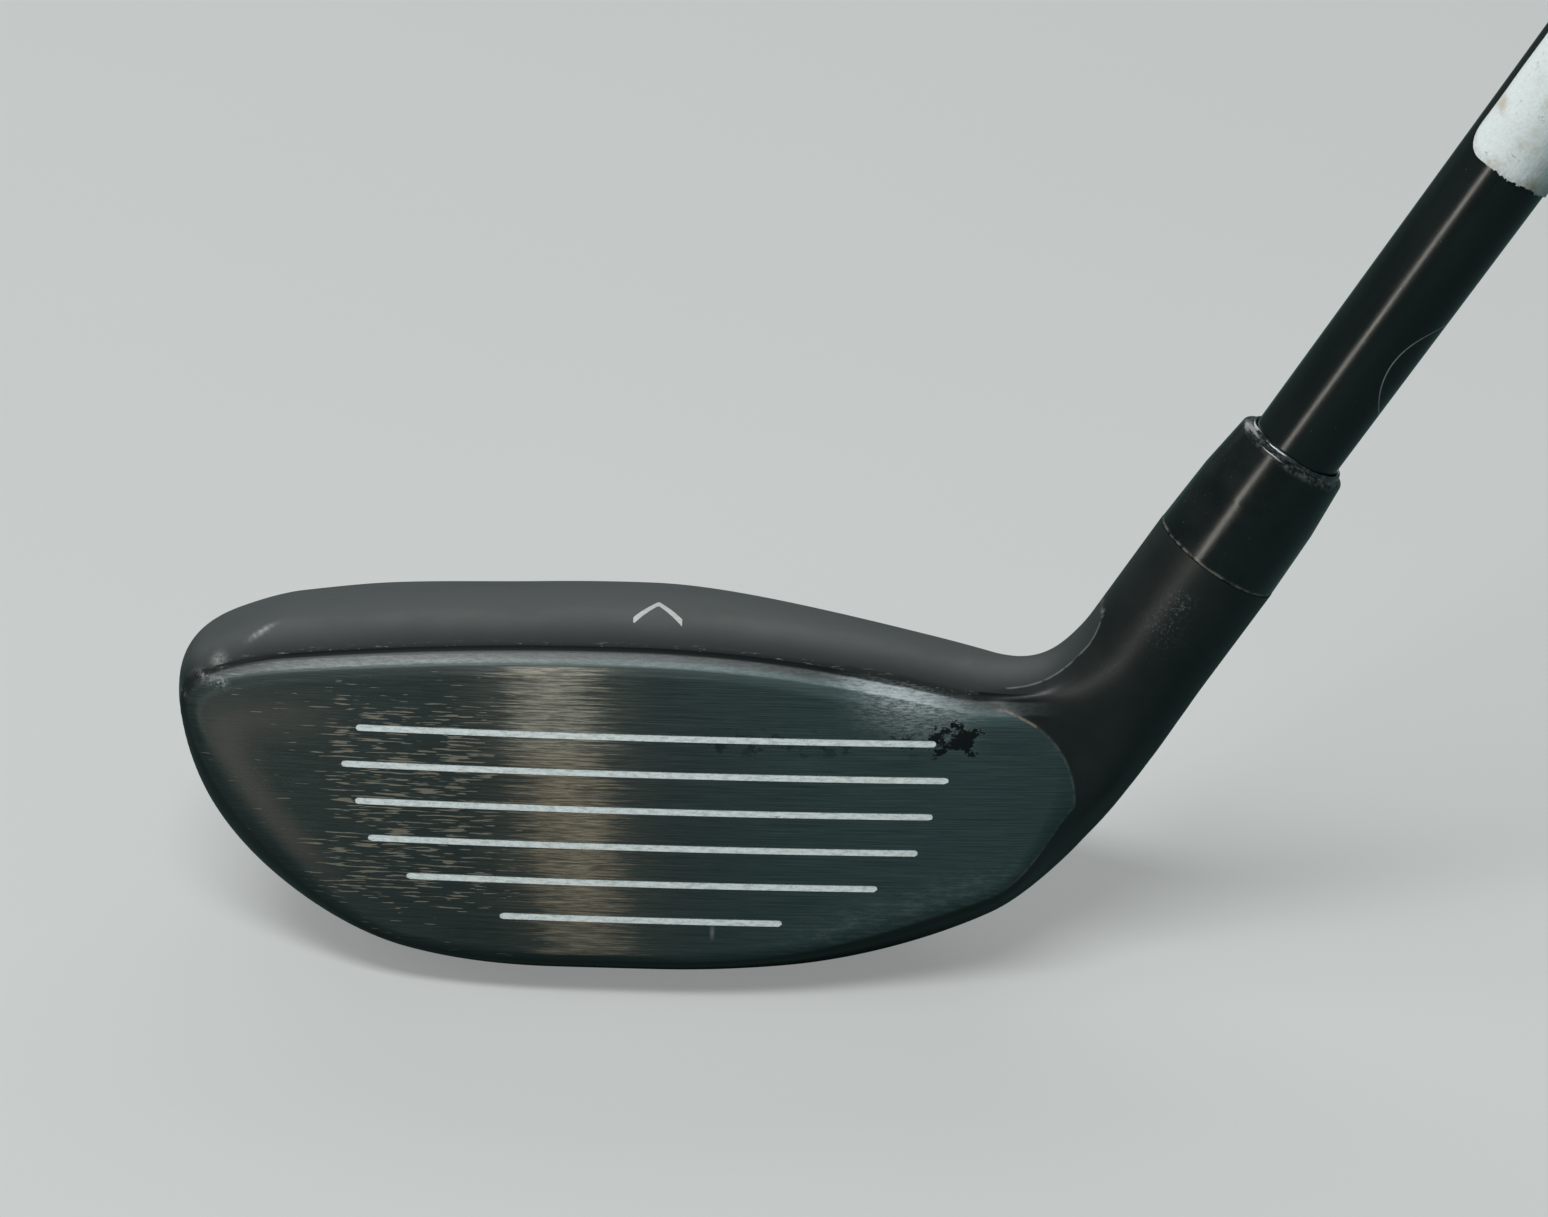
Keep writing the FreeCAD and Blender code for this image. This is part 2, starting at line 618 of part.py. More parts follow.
def build_head():
    skin = outer_skin()
    cavity_skin = inner_skin(-dim("wall"), dim("cavity_heel_end"))
    plate_back = FACE_RADIUS - dim("plate_thickness")
    front = front_space()
    prism = plate_prism()
    plate_slab = sphere_shell(plate_back, FACE_RADIUS)
    cavity = cavity_skin.cut(sphere_shell(plate_back, FACE_RADIUS + 60.0))
    face_cut_skin = skin.cut(front)

    crown_space = crown_region()
    crown_shape = face_cut_skin.common(crown_space)
    body = face_cut_skin.cut(crown_space)

    port_point, inward = port_frame()
    boss_start = -6.0
    boss = Part.makeCylinder(
        dim("boss_radius"), dim("boss_end") - boss_start, port_point + inward * boss_start, inward)
    hollow = cavity.cut(boss)
    body = body.cut(hollow)

    plate = plate_slab.common(prism)
    crown_shape = crown_shape.cut(cavity).cut(plate)
    body = body.cut(plate)
    floor = FACE_RADIUS - dim("groove_depth")
    paint_top = FACE_RADIUS - dim("paint_recess")
    groove_slab = sphere_shell(floor, FACE_RADIUS + 1.0)
    paint_slab = sphere_shell(floor, paint_top)
    paint = []
    for bar in groove_bars():
        plate = plate.cut(bar.common(groove_slab))
        paint.append(bar.common(paint_slab))

    counterbore = Part.makeCylinder(
        dim("port_radius"), dim("port_depth") + 6.0, port_point - inward * 6.0, inward)
    thread = Part.makeCylinder(dim("thread_radius"), dim("thread_end"), port_point, inward)
    body = body.cut(counterbore).cut(thread)

    bore = axis_cylinder(dim("bore_radius"), dim("plug_base"), dim("seam_station") + 5.0)
    body = body.cut(bore)

    badge_depth, film_depth = dim("badge_depth"), dim("adhesive_depth")
    badge_prism = rounded_bar(
        dim("badge_length"), dim("badge_width"), Vector(-7.0, 15.0, -30.0), 28.0)
    under = skin.common(badge_prism)
    badge = under.cut(moved(skin, Vector(0, 0, badge_depth)))
    film = under.common(moved(skin, Vector(0, 0, badge_depth)))
    film = film.cut(moved(skin, Vector(0, 0, badge_depth + film_depth)))
    body = body.cut(under.cut(moved(skin, Vector(0, 0, badge_depth + film_depth))))

    lowered = moved(skin, Vector(0, 0, -dim("mark_depth")))
    ink = skin.common(mark_prism()).cut(lowered)
    crown_shape = crown_shape.cut(ink)

    puddle = Part.makeSphere(11.0, Vector(6.0, 10.0, -22.5))
    glue = hollow.common(puddle)
    return {
        "head_body": body,
        "face_plate": plate,
        "groove_paint": Part.Compound(paint),
        "crown_shell": crown_shape,
        "crown_mark": ink,
        "sole_badge": badge,
        "badge_adhesive": film,
        "hot_melt": glue,
    }


def add_feature(label, shape, shift):
    feature = doc.addObject("Part::Feature", label)
    feature.Label = label
    feature.Shape = shape
    feature.Placement = FreeCAD.Placement(shift, FreeCAD.Rotation())
    return feature


# ------------------------------------------------------------ turned pieces

def origin_plane(body, role):
    for item in body.Origin.OriginFeatures:
        if item.Role == role:
            return item
    raise ValueError(role)


def new_body(label, placement):
    body = doc.addObject("PartDesign::Body", label)
    body.Label = label
    body.Placement = placement
    return body


def attach(sketch, body, role):
    sketch.AttachmentSupport = [(origin_plane(body, role), "")]
    sketch.MapMode = "FlatFace"


def bind(sketch, kind, geometry, expression):
    """Tie one point's distance from the sketch axes to a sheet expression."""
    value = sketch.evalExpression(expression)
    value = float(getattr(value, "Value", value))
    if abs(value) < 1e-9:
        axis = -2 if kind == "DistanceX" else -1
        sketch.addConstraint(Sketcher.Constraint("PointOnObject", geometry, 1, axis))
        return
    index = sketch.addConstraint(Sketcher.Constraint(kind, -1, 1, geometry, 1, value))
    sketch.setExpression(f"Constraints[{index}]", expression)


def outline_sketch(body, name, corners):
    """Closed outline; each corner is a pair of sheet expressions, radius and station."""
    sketch = body.newObject("Sketcher::SketchObject", name)
    attach(sketch, body, "XZ_Plane")
    doc.recompute()
    places = []
    for radius, station in corners:
        pair = []
        for expression in (radius, station):
            value = sketch.evalExpression(expression)
            pair.append(float(getattr(value, "Value", value)))
        places.append(Vector(pair[0], pair[1], 0))
    count = len(places)
    for index in range(count):
        sketch.addGeometry(Part.LineSegment(places[index], places[(index + 1) % count]), False)
    for index in range(count):
        sketch.addConstraint(
            Sketcher.Constraint("Coincident", index, 2, (index + 1) % count, 1))
    for index, (radius, station) in enumerate(corners):
        bind(sketch, "DistanceX", index, radius)
        bind(sketch, "DistanceY", index, station)
    doc.recompute()
    return sketch


def turned_body(label, placement, corners):
    """Body made by turning one outline about its own Z axis."""
    body = new_body(label, placement)
    sketch = outline_sketch(body, label + "_outline", corners)
    turn = body.newObject("PartDesign::Revolution", label + "_turn")
    turn.Profile = sketch
    turn.ReferenceAxis = (sketch, ["V_Axis"])
    turn.Angle = 360.0
    doc.recompute()
    return body


def from_sheet(*names):
    return "Sheet." + names[0] if len(names) == 1 else " + ".join("Sheet." + n for n in names)


def tube_corners(inner, outer, low, high):
    return [(inner, low), (outer, low), (outer, high), (inner, high)]


def ring_grooves(body, name, corners, spacing, count):
    """Turned ring cut, repeated along the axis."""
    sketch = outline_sketch(body, name + "_outline", corners)
    cut = body.newObject("PartDesign::Groove", name)
    cut.Profile = sketch
    cut.ReferenceAxis = (sketch, ["V_Axis"])
    cut.Angle = 360.0
    doc.recompute()
    pattern = body.newObject("PartDesign::LinearPattern", name + "_row")
    pattern.Originals = [cut]
    pattern.Direction = (sketch, ["V_Axis"])
    pattern.Occurrences = count
    pattern.setExpression("Length", f"{spacing} * {count - 1}")
    body.Tip = pattern
    doc.recompute()
    return pattern


def build_shaft_pieces():
    sheet_name = from_sheet
    pieces = []
    pieces.append(turned_body("bore_plug", SHAFT_PLACEMENT, [
        ("0", sheet_name("plug_base")),
        ("Sheet.bore_radius - 0.02", sheet_name("plug_base")),
        ("Sheet.bore_radius - 0.02", sheet_name("tip_station")),
        ("0", sheet_name("tip_station")),
    ]))
    pieces.append(turned_body("shaft_tube", SHAFT_PLACEMENT, [
        (sheet_name("tip_bore"), sheet_name("tip_station")),
        (sheet_name("tip_radius"), sheet_name("tip_station")),
        (sheet_name("tip_radius"), sheet_name("taper_start")),
        (sheet_name("butt_radius"), sheet_name("taper_end")),
        (sheet_name("butt_radius"), sheet_name("butt_station")),
        (sheet_name("butt_bore"), sheet_name("butt_station")),
        (sheet_name("butt_bore"), sheet_name("taper_end")),
        (sheet_name("tip_bore"), sheet_name("taper_start")),
    ]))
    pieces.append(turned_body("epoxy_bond", SHAFT_PLACEMENT, [
        (sheet_name("tip_radius"), sheet_name("tip_station")),
        (sheet_name("bore_radius"), sheet_name("tip_station")),
        (sheet_name("bore_radius"), sheet_name("ferrule_top")),
        (sheet_name("bead_radius"), sheet_name("ferrule_top")),
        ("Sheet.bead_radius - 0.15", "Sheet.ferrule_top + 0.6 * Sheet.bead_height"),
        (sheet_name("tip_radius"), "Sheet.ferrule_top + Sheet.bead_height"),
    ]))
    ferrule = turned_body("ferrule", SHAFT_PLACEMENT, [
        (sheet_name("bore_radius"), sheet_name("seam_station")),
        (sheet_name("ferrule_base_radius"), sheet_name("seam_station")),
        (sheet_name("ferrule_top_radius"), "Sheet.ferrule_top - Sheet.ferrule_shoulder"),
        ("Sheet.ferrule_top_radius - 0.45 * Sheet.ferrule_shoulder", sheet_name("ferrule_top")),
        (sheet_name("bore_radius"), sheet_name("ferrule_top")),
    ])
    pieces.append(ferrule)
    slug = turned_body("tip_weight", SHAFT_PLACEMENT, [
        ("0", sheet_name("slug_base")),
        (sheet_name("slug_radius"), sheet_name("slug_base")),
        (sheet_name("slug_radius"), sheet_name("slug_top")),
        ("0", sheet_name("slug_top")),
    ])
    ring_grooves(slug, "slug_groove", [
        (sheet_name("slug_neck"), "Sheet.slug_base + 3"),
        ("Sheet.slug_radius + 0.5", "Sheet.slug_base + 3"),
        ("Sheet.slug_radius + 0.5", "Sheet.slug_base + 4.2"),
        (sheet_name("slug_neck"), "Sheet.slug_base + 4.2"),
    ], "4", 3)
    pieces.append(slug)
    pieces.append(turned_body("tip_plug", SHAFT_PLACEMENT, [
        ("0", sheet_name("slug_top")),
        (sheet_name("slug_radius"), sheet_name("slug_top")),
        (sheet_name("slug_radius"), sheet_name("cork_top")),
        ("0", sheet_name("cork_top")),
    ]))
    return pieces


def build_grip_pieces():
    tape = turned_body("grip_tape", SHAFT_PLACEMENT, tube_corners(
        "Sheet.butt_radius", "Sheet.butt_radius + Sheet.tape_thickness",
        "Sheet.tape_start", "Sheet.butt_station"))
    sleeve = turned_body("grip_sleeve", SHAFT_PLACEMENT, [
        ("Sheet.butt_radius", "Sheet.grip_start"),
        ("Sheet.grip_mouth_radius - Sheet.grip_lip", "Sheet.grip_start"),
        ("Sheet.grip_mouth_radius", "Sheet.grip_start + Sheet.grip_lip"),
        ("Sheet.grip_butt_radius", "Sheet.butt_station - 30"),
        ("Sheet.grip_butt_radius", "Sheet.butt_station"),
        ("Sheet.butt_radius + Sheet.tape_thickness", "Sheet.butt_station"),
        ("Sheet.butt_radius + Sheet.tape_thickness", "Sheet.tape_start"),
        ("Sheet.butt_radius", "Sheet.tape_start"),
    ])
    ring_grooves(sleeve, "mouth_ring", [
        ("Sheet.grip_mouth_radius - Sheet.ring_groove_depth", "Sheet.grip_start + 4"),
        ("Sheet.grip_mouth_radius + 2", "Sheet.grip_start + 4"),
        ("Sheet.grip_mouth_radius + 2", "Sheet.grip_start + 4 + Sheet.ring_groove_width"),
        ("Sheet.grip_mouth_radius - Sheet.ring_groove_depth",
         "Sheet.grip_start + 4 + Sheet.ring_groove_width"),
    ], "Sheet.ring_groove_pitch", 3)
    top = "Sheet.butt_station + Sheet.cap_thickness"
    cap = turned_body("grip_cap", SHAFT_PLACEMENT, [
        ("Sheet.vent_radius", "Sheet.butt_station"),
        ("Sheet.grip_butt_radius", "Sheet.butt_station"),
        ("Sheet.grip_butt_radius", f"{top} - Sheet.cap_chamfer"),
        ("Sheet.grip_butt_radius - Sheet.cap_chamfer", top),
        ("Sheet.vent_radius", top),
    ])
    return [tape, sleeve, cap]


def build_weight_pieces():
    point, inward = port_frame()
    placement = FreeCAD.Placement(
        point + HEAD_SHIFT, FreeCAD.Rotation(Vector(0, 0, 1), inward))
    screw = turned_body("weight_screw", placement, [
        ("0", "Sheet.screw_head_sunk"),
        ("Sheet.screw_head_radius - 0.4", "Sheet.screw_head_sunk"),
        ("Sheet.screw_head_radius", "Sheet.screw_head_sunk + 0.4"),
        ("Sheet.screw_head_radius", "Sheet.screw_head_base"),
        ("Sheet.screw_shank_radius", "Sheet.screw_head_base"),
        ("Sheet.screw_shank_radius", "Sheet.screw_end - 0.5"),
        ("Sheet.screw_shank_radius - 0.5", "Sheet.screw_end"),
        ("0", "Sheet.screw_end"),
    ])
    socket = screw.newObject("Sketcher::SketchObject", "socket_outline")
    attach(socket, screw, "XY_Plane")
    doc.recompute()
    half = dim("socket_width") / 2
    corner = half / math.cos(math.pi / 6)
    for index in range(6):
        a = math.radians(60 * index)
        b = math.radians(60 * (index + 1))
        socket.addGeometry(Part.LineSegment(
            Vector(corner * math.cos(a), corner * math.sin(a), 0),
            Vector(corner * math.cos(b), corner * math.sin(b), 0)), False)
    guide = socket.addGeometry(Part.Circle(Vector(0, 0, 0), Vector(0, 0, 1), corner), True)
    for index in range(6):
        socket.addConstraint(Sketcher.Constraint("Coincident", index, 2, (index + 1) % 6, 1))
        socket.addConstraint(Sketcher.Constraint("PointOnObject", index, 1, guide))
        if index:
            socket.addConstraint(Sketcher.Constraint("Equal", 0, index))
    socket.addConstraint(Sketcher.Constraint("Coincident", guide, 3, -1, 1))
    socket.addConstraint(Sketcher.Constraint("PointOnObject", 0, 1, -1))
    size = socket.addConstraint(Sketcher.Constraint("Radius", guide, corner))
    socket.setExpression(f"Constraints[{size}]", "Sheet.socket_width / 2 / cos(30deg)")
    doc.recompute()
    before = screw.Shape.Volume
    pocket = screw.newObject("PartDesign::Pocket", "socket_cut")
    pocket.Profile = socket
    pocket.setExpression("Length", "Sheet.screw_head_sunk + Sheet.socket_depth")
    pocket.Reversed = True
    doc.recompute()
    if screw.Shape.Volume > before - 1.0:
        pocket.Reversed = False
        doc.recompute()
    ring_grooves(screw, "thread_ring", [
        ("Sheet.screw_root_radius", "Sheet.screw_head_base + 1.6"),
        ("Sheet.screw_shank_radius + 0.3", "Sheet.screw_head_base + 1.3"),
        ("Sheet.screw_shank_radius + 0.3", "Sheet.screw_head_base + 2.1"),
        ("Sheet.screw_root_radius", "Sheet.screw_head_base + 1.8"),
    ], "Sheet.screw_pitch", 5)
    washer = turned_body("weight_washer", placement, tube_corners(
        "Sheet.washer_bore", "Sheet.washer_radius", "Sheet.screw_head_base", "Sheet.port_depth"))
    return [screw, washer]


def build_label():
    """Paper sticker wrapped part of the way round the shaft, with one rounded corner."""
    start, end = dim("label_start"), dim("label_end")
    run = dim("taper_end") - dim("taper_start")
    swell = (dim("butt_radius") - dim("tip_radius")) / run

    def shaft_radius(station):
        return dim("tip_radius") + (station - dim("taper_start")) * swell

    low, high = shaft_radius(start), shaft_radius(end)
    paper = dim("label_thickness")
    profile = Part.Face(Part.makePolygon([
        Vector(low, 0, start),
        Vector(low + paper, 0, start),
        Vector(high + paper, 0, end),
        Vector(high, 0, end),
        Vector(low, 0, start),
    ]))
    # The wrap is measured from the back of the club, which is +Y, turning over the top.
    profile.rotate(Vector(0, 0, 0), Vector(0, 0, 1), 90.0 + dim("label_from"))
    wrap = profile.revolve(Vector(0, 0, 0), Vector(0, 0, 1), dim("label_sweep"))
    # Round off the lower corner with a corner-shaped block.
    corner = dim("label_corner")
    angle = math.radians(90.0 + dim("label_from"))
    radial = Vector(math.cos(angle), math.sin(angle), 0)
    across = Vector(-math.sin(angle), math.cos(angle), 0)
    foot = radial * (low - 2.0) + Vector(0, 0, start)

    def at(a, b):
        return foot + across * a + Vector(0, 0, b)

    slope = math.sqrt(0.5)
    edges = [
        Part.makeLine(at(corner, 0), at(-1.0, 0)),
        Part.makeLine(at(-1.0, 0), at(-1.0, corner)),
        Part.makeLine(at(-1.0, corner), at(0, corner)),
        Part.Arc(at(0, corner), at(corner * (1 - slope), corner * (1 - slope)), at(corner, 0)).toShape(),
    ]
    block = Part.Face(Part.Wire(edges)).extrude(radial * 5.0)
    feature = doc.addObject("Part::Feature", "shaft_label")
    feature.Label = "shaft_label"
    feature.Shape = wrap.cut(block)
    feature.Placement = SHAFT_PLACEMENT
    return feature


# -------------------------------------------------------------------- output

def solids_of(shape):
    solids = shape.Solids
    return solids[0] if len(solids) == 1 else Part.Compound(solids)


def main():
    nodes = []
    for label, shape in build_head().items():
        nodes.append(add_feature(label, solids_of(shape), HEAD_SHIFT))
    nodes += build_shaft_pieces()
    nodes += build_grip_pieces()
    nodes += build_weight_pieces()
    nodes.append(build_label())
    doc.recompute()
    faults = []
    for item in doc.Objects:
        if "Invalid" in item.State or "Error" in item.State:
            faults.append(f"{item.Label}: {item.State}")
    for node in nodes:
        if node.Shape.isNull() or not node.Shape.isValid():
            faults.append(f"{node.Label}: shape not valid")
    if faults:
        raise SystemExit("\n".join(faults))
    os.makedirs(PARTS_FOLDER, exist_ok=True)
    for node in nodes:
        node.Shape.exportStep(os.path.join(PARTS_FOLDER, node.Label + ".step"))
        print(node.Label, len(node.Shape.Solids), round(node.Shape.Volume, 1))


main()
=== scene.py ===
import functools
import json
import math

import bpy
import numpy as np
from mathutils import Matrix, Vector


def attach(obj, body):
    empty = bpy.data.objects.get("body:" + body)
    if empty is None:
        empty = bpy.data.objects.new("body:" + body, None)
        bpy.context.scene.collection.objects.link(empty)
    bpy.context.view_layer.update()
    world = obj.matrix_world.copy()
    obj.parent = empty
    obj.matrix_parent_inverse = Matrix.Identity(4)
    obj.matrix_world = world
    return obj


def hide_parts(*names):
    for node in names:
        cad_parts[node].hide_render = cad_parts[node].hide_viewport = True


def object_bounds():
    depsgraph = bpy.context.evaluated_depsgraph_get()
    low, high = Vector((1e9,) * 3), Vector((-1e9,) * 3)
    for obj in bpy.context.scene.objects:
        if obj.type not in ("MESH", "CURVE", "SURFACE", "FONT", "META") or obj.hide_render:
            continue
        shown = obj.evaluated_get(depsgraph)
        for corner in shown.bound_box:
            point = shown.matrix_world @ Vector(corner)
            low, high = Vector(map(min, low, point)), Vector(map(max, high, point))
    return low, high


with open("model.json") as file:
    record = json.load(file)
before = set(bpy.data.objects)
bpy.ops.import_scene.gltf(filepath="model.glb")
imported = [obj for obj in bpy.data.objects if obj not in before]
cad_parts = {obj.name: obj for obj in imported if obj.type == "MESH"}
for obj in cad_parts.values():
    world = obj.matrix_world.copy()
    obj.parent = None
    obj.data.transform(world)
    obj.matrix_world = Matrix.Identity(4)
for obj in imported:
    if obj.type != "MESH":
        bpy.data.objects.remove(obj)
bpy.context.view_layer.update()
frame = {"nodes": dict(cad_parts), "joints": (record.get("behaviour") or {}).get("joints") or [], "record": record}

MM = 0.001
record = frame["record"]
mounts = {mount["name"]: mount for mount in record["mounts"]}
joints = {joint["name"]: joint for joint in frame["joints"]}


def shaft_foot():
    """Where the shaft axis meets the ground, in metres."""
    point, axis = np.array(mounts["grip_vent"]["pos_m"]), np.array(mounts["grip_vent"]["axis"])
    return point - axis * (point[2] / axis[2])


FOOT = shaft_foot()


# ------------------------------------------------------------- head shape (mm)
# The head is drawn about the face centre: x towards the heel, y back, z up.

LIE, LOFT = math.radians(59.0), math.radians(17.0)
COS_LIE, SIN_LIE = math.cos(LIE), math.sin(LIE)
COS_LOFT, SIN_LOFT = math.cos(LOFT), math.sin(LOFT)
FACE_RADIUS = 254.0
FACE_HEIGHT = 18.1
AXIS_X, AXIS_Y = 41.2, 12.0
NECK_RADIUS = 6.82
HOSEL_TOP = 31.5
HEAD_SHIFT = FOOT / MM + (FACE_HEIGHT * COS_LIE / SIN_LIE - AXIS_X, -AXIS_Y, FACE_HEIGHT)
HEEL_CIRCLE = (34.3, 3.2, 9.7)
WIDE_CIRCLE = (-34.3, 1.2, 40.3)
HEEL_FLARE = 0.75
TOE_REACH, HEEL_REACH, BACK_LENGTH = 40.3, 59.0, 44.0
WIDEST_Y, WIDEST_LEVEL, SOLE_DEPTH = 12.0, 13.5, 31.6
TOPLINE_HEIGHT, TOPLINE_ROLL = 17.1, math.radians(33)
CROWN_START_Y = 10.0


def soft_max(a, b, softness):
    overlap = np.clip(softness - np.abs(a - b), 0, None) / softness
    return np.maximum(a, b) + overlap * overlap * softness * 0.25


def soft_min(a, b, softness):
    return -soft_max(-a, -b, softness)


def ease(start, end, x):
    part = np.clip((x - start) / (end - start), 0, 1)
    return part * part * (3 - 2 * part)


def xyz(points):
    return points[..., 0], points[..., 1], points[..., 2]


def face_depth(x, y, z):
    """How far a point stands in front of the curved face, and how far up the face it is."""
    depth = np.sqrt(x * x + (y - FACE_RADIUS * COS_LOFT) ** 2 + (z + FACE_RADIUS * SIN_LOFT) ** 2)
    return depth - FACE_RADIUS, y * SIN_LOFT + z * COS_LOFT


def bowl(x, y, z):
    """Sole, toe, heel and back of the head: a lopsided rounded bowl."""
    behind = np.clip(y - CROWN_START_Y, 0, None)
    depth = SOLE_DEPTH - 1.8 * ease(15, 46, x)
    across = x + 0.10 * behind + 8.0
    toeward = across < 0
    reach = np.where(toeward, TOE_REACH, HEEL_REACH - 0.45 * behind)
    power = np.where(toeward, 2.3, 3.8 - 1.8 * ease(12, 34, y))
    front = 25.0 - 6.5 * ease(-24, -44, x) - 6.0 * ease(2, 36, x) - 8.5 * ease(36, 47, x)
    length = np.where(y < WIDEST_Y, front, BACK_LENGTH)
    a, b = np.abs(across) / reach, np.abs(y - WIDEST_Y) / length
    c = np.clip(WIDEST_LEVEL - z, 0, None) / depth
    level = a ** power + b ** 2.5 + c ** 2.4 - 1
    slope = np.sqrt(
        (power * a ** (power - 1) / reach) ** 2
        + (2.5 * b ** 1.5 / length) ** 2
        + (2.4 * c ** 1.4 / depth) ** 2)
    return level / np.maximum(slope, 0.03)


def topline(x):
    return TOPLINE_HEIGHT - np.where(x < -2, 0.0022, 0.0037) * (x + 2) ** 2


def crown_level(x, y, z):
    edge = topline(x)
    curve = 0.0093 - 0.0012 * ease(-12, -32, x) + 0.0040 * ease(0, 30, x)
    fall = 2 * curve * (y - CROWN_START_Y)
    summit = edge + 1.1 - 0.05 * np.clip(-38.0 - x, 0, None) ** 1.6
    dome = (z - summit + curve * (y - CROWN_START_Y) ** 2) / np.sqrt(1 + fall * fall)
    edge_y = edge * SIN_LOFT / COS_LOFT + x * x / (2 * FACE_RADIUS)
    roll = (z - edge - 0.3) * math.cos(TOPLINE_ROLL) - (y - edge_y) * math.sin(TOPLINE_ROLL)
    return soft_max(dome, roll, 5.0)


def uncut_head(x, y, z):
    along = (x - AXIS_X) * COS_LIE + z * SIN_LIE
    side = (x - AXIS_X) * SIN_LIE - z * COS_LIE
    tube = np.sqrt(side * side + (y - AXIS_Y) ** 2) - NECK_RADIUS
    tube = soft_max(tube, 8.0 - along, 9.0)
    shell = soft_max(crown_level(x, y, z), bowl(x, y, z), 5.0 - 2.2 * ease(-25, -42, x))
    return soft_min(shell, tube, 10.0 - 3.0 * ease(45, 52, x) * ease(17, 9, z))


def opening_gap(x, up):
    """Distance outside the flat face's outline, small circle at the heel, wide one past the toe."""
    (hx, hu, hr), (wx, wu, wr) = HEEL_CIRCLE, WIDE_CIRCLE
    span = math.hypot(hx - wx, hu - wu)
    run, rise = (hx - wx) / span, (hu - wu) / span
    lean = (wr - hr) / span
    square = math.sqrt(1 - lean * lean)
    along = (x - wx) * run + (up - wu) * rise
    off = np.abs((up - wu) * run - (x - wx) * rise)
    at_heel = along * square - off * lean > span * square
    return np.where(at_heel, np.hypot(along - span, off) - hr, off * square + along * lean - wr)


def head_parts(points):
    """Head level, depth in front of the face, uncut level, face outline gap, height up the face."""
    x, y, z = xyz(points)
    depth, up = face_depth(x, y, z)
    uncut = uncut_head(x, y, z)
    gap = opening_gap(x, up)
    flared = depth - HEEL_FLARE * (np.sqrt(np.clip(gap, 0, None) ** 2 + 1.44) - 1.2)
    bevel = 1.0 - 0.4 * ease(5, -5, z) + 0.3 * np.exp(-((x - 24) / 9.0) ** 2)
    edge_radius = 1.2 + 2.0 * ease(-24, -42, x) * (1 - ease(2, 14, up)) + 1.5 * ease(36, 44, x)
    level = soft_max(uncut, flared, edge_radius)
    level = soft_max(level, (flared + uncut + bevel) * 0.7071, 0.4)
    return level, depth, uncut, gap, up, flared


def head_level(points):
    return head_parts(points)[0]


def head_normals(points):
    step = 0.03
    slopes = []
    for axis in range(3):
        shift = np.zeros(3)
        shift[axis] = step
        slopes.append(head_level(points + shift) - head_level(points - shift))
    normals = np.stack(slopes, -1)
    return normals / np.linalg.norm(normals, axis=-1, keepdims=True)


def to_surface(points):
    """Moves points close to the head onto it."""
    normals = head_normals(points)
    return points - normals * head_level(points)[..., None], normals


def cast(centres, directions):
    """Points where rays from inside first leave the head."""
    shape = directions.shape[:-1]
    low, high = np.zeros(shape), np.full(shape, 95.0)
    open_rays = np.ones(shape, bool)
    stride = 1.2
    reach = stride
    while reach < 95.0 and open_rays.any():
        outside = head_level(centres + directions * reach) >= 0
        crossed = open_rays & outside
        high[crossed] = reach
        low[crossed] = reach - stride
        open_rays &= ~outside
        reach += stride
    for _ in range(16):
        middle = (low + high) / 2
        outside = head_level(centres + directions * middle[..., None]) >= 0
        high = np.where(outside, middle, high)
        low = np.where(outside, low, middle)
    return centres + directions * ((low + high) / 2)[..., None]


PIVOT_X, PIVOT_Z = 36.2, 26.5
TOE_X, TOE_CENTRE_Y, TOE_CENTRE_Z = -48.78, 19.0, 7.5
AROUND = 480
SPACING = 0.40


def head_sections():
    """Centres and up directions of the section planes, from the toe round the neck to the hosel end."""
    toe_steps = int(14 / SPACING)
    stations = [TOE_X + 0.04 + 12.0 * (i / toe_steps) ** 1.7 for i in range(toe_steps)]
    stations += list(np.arange(TOE_X + 12.04, PIVOT_X, SPACING))
    centres, ups = [], []
    for x in stations:
        spread, narrow = ease(TOE_X, TOE_X + 12.0, x), ease(5.0, PIVOT_X, x)
        y = TOE_CENTRE_Y + (14.0 - TOE_CENTRE_Y) * spread + (AXIS_Y - 14.0) * narrow
        z = TOE_CENTRE_Z + (1.5 - TOE_CENTRE_Z) * spread + 3.5 * narrow
        centres.append((x, y, z))
        ups.append((0, 0, 1))
    fans = int(38 / SPACING)
    for i in range(fans + 1):
        angle = LIE * i / fans
        away = 21.5 - 3.6 * ease(0, 1, i / fans)
        up = (-math.sin(angle), 0, math.cos(angle))
        centres.append((PIVOT_X - up[0] * away, AXIS_Y, PIVOT_Z - up[2] * away))
        ups.append(up)
    start = (centres[-1][0] - AXIS_X) * COS_LIE + centres[-1][2] * SIN_LIE
    for along in np.linspace(start, HOSEL_TOP, int(11 / SPACING))[1:]:
        centres.append((AXIS_X + COS_LIE * along, AXIS_Y, SIN_LIE * along))
        ups.append((-SIN_LIE, 0, COS_LIE))
    return np.array(centres, float), np.array(ups, float)


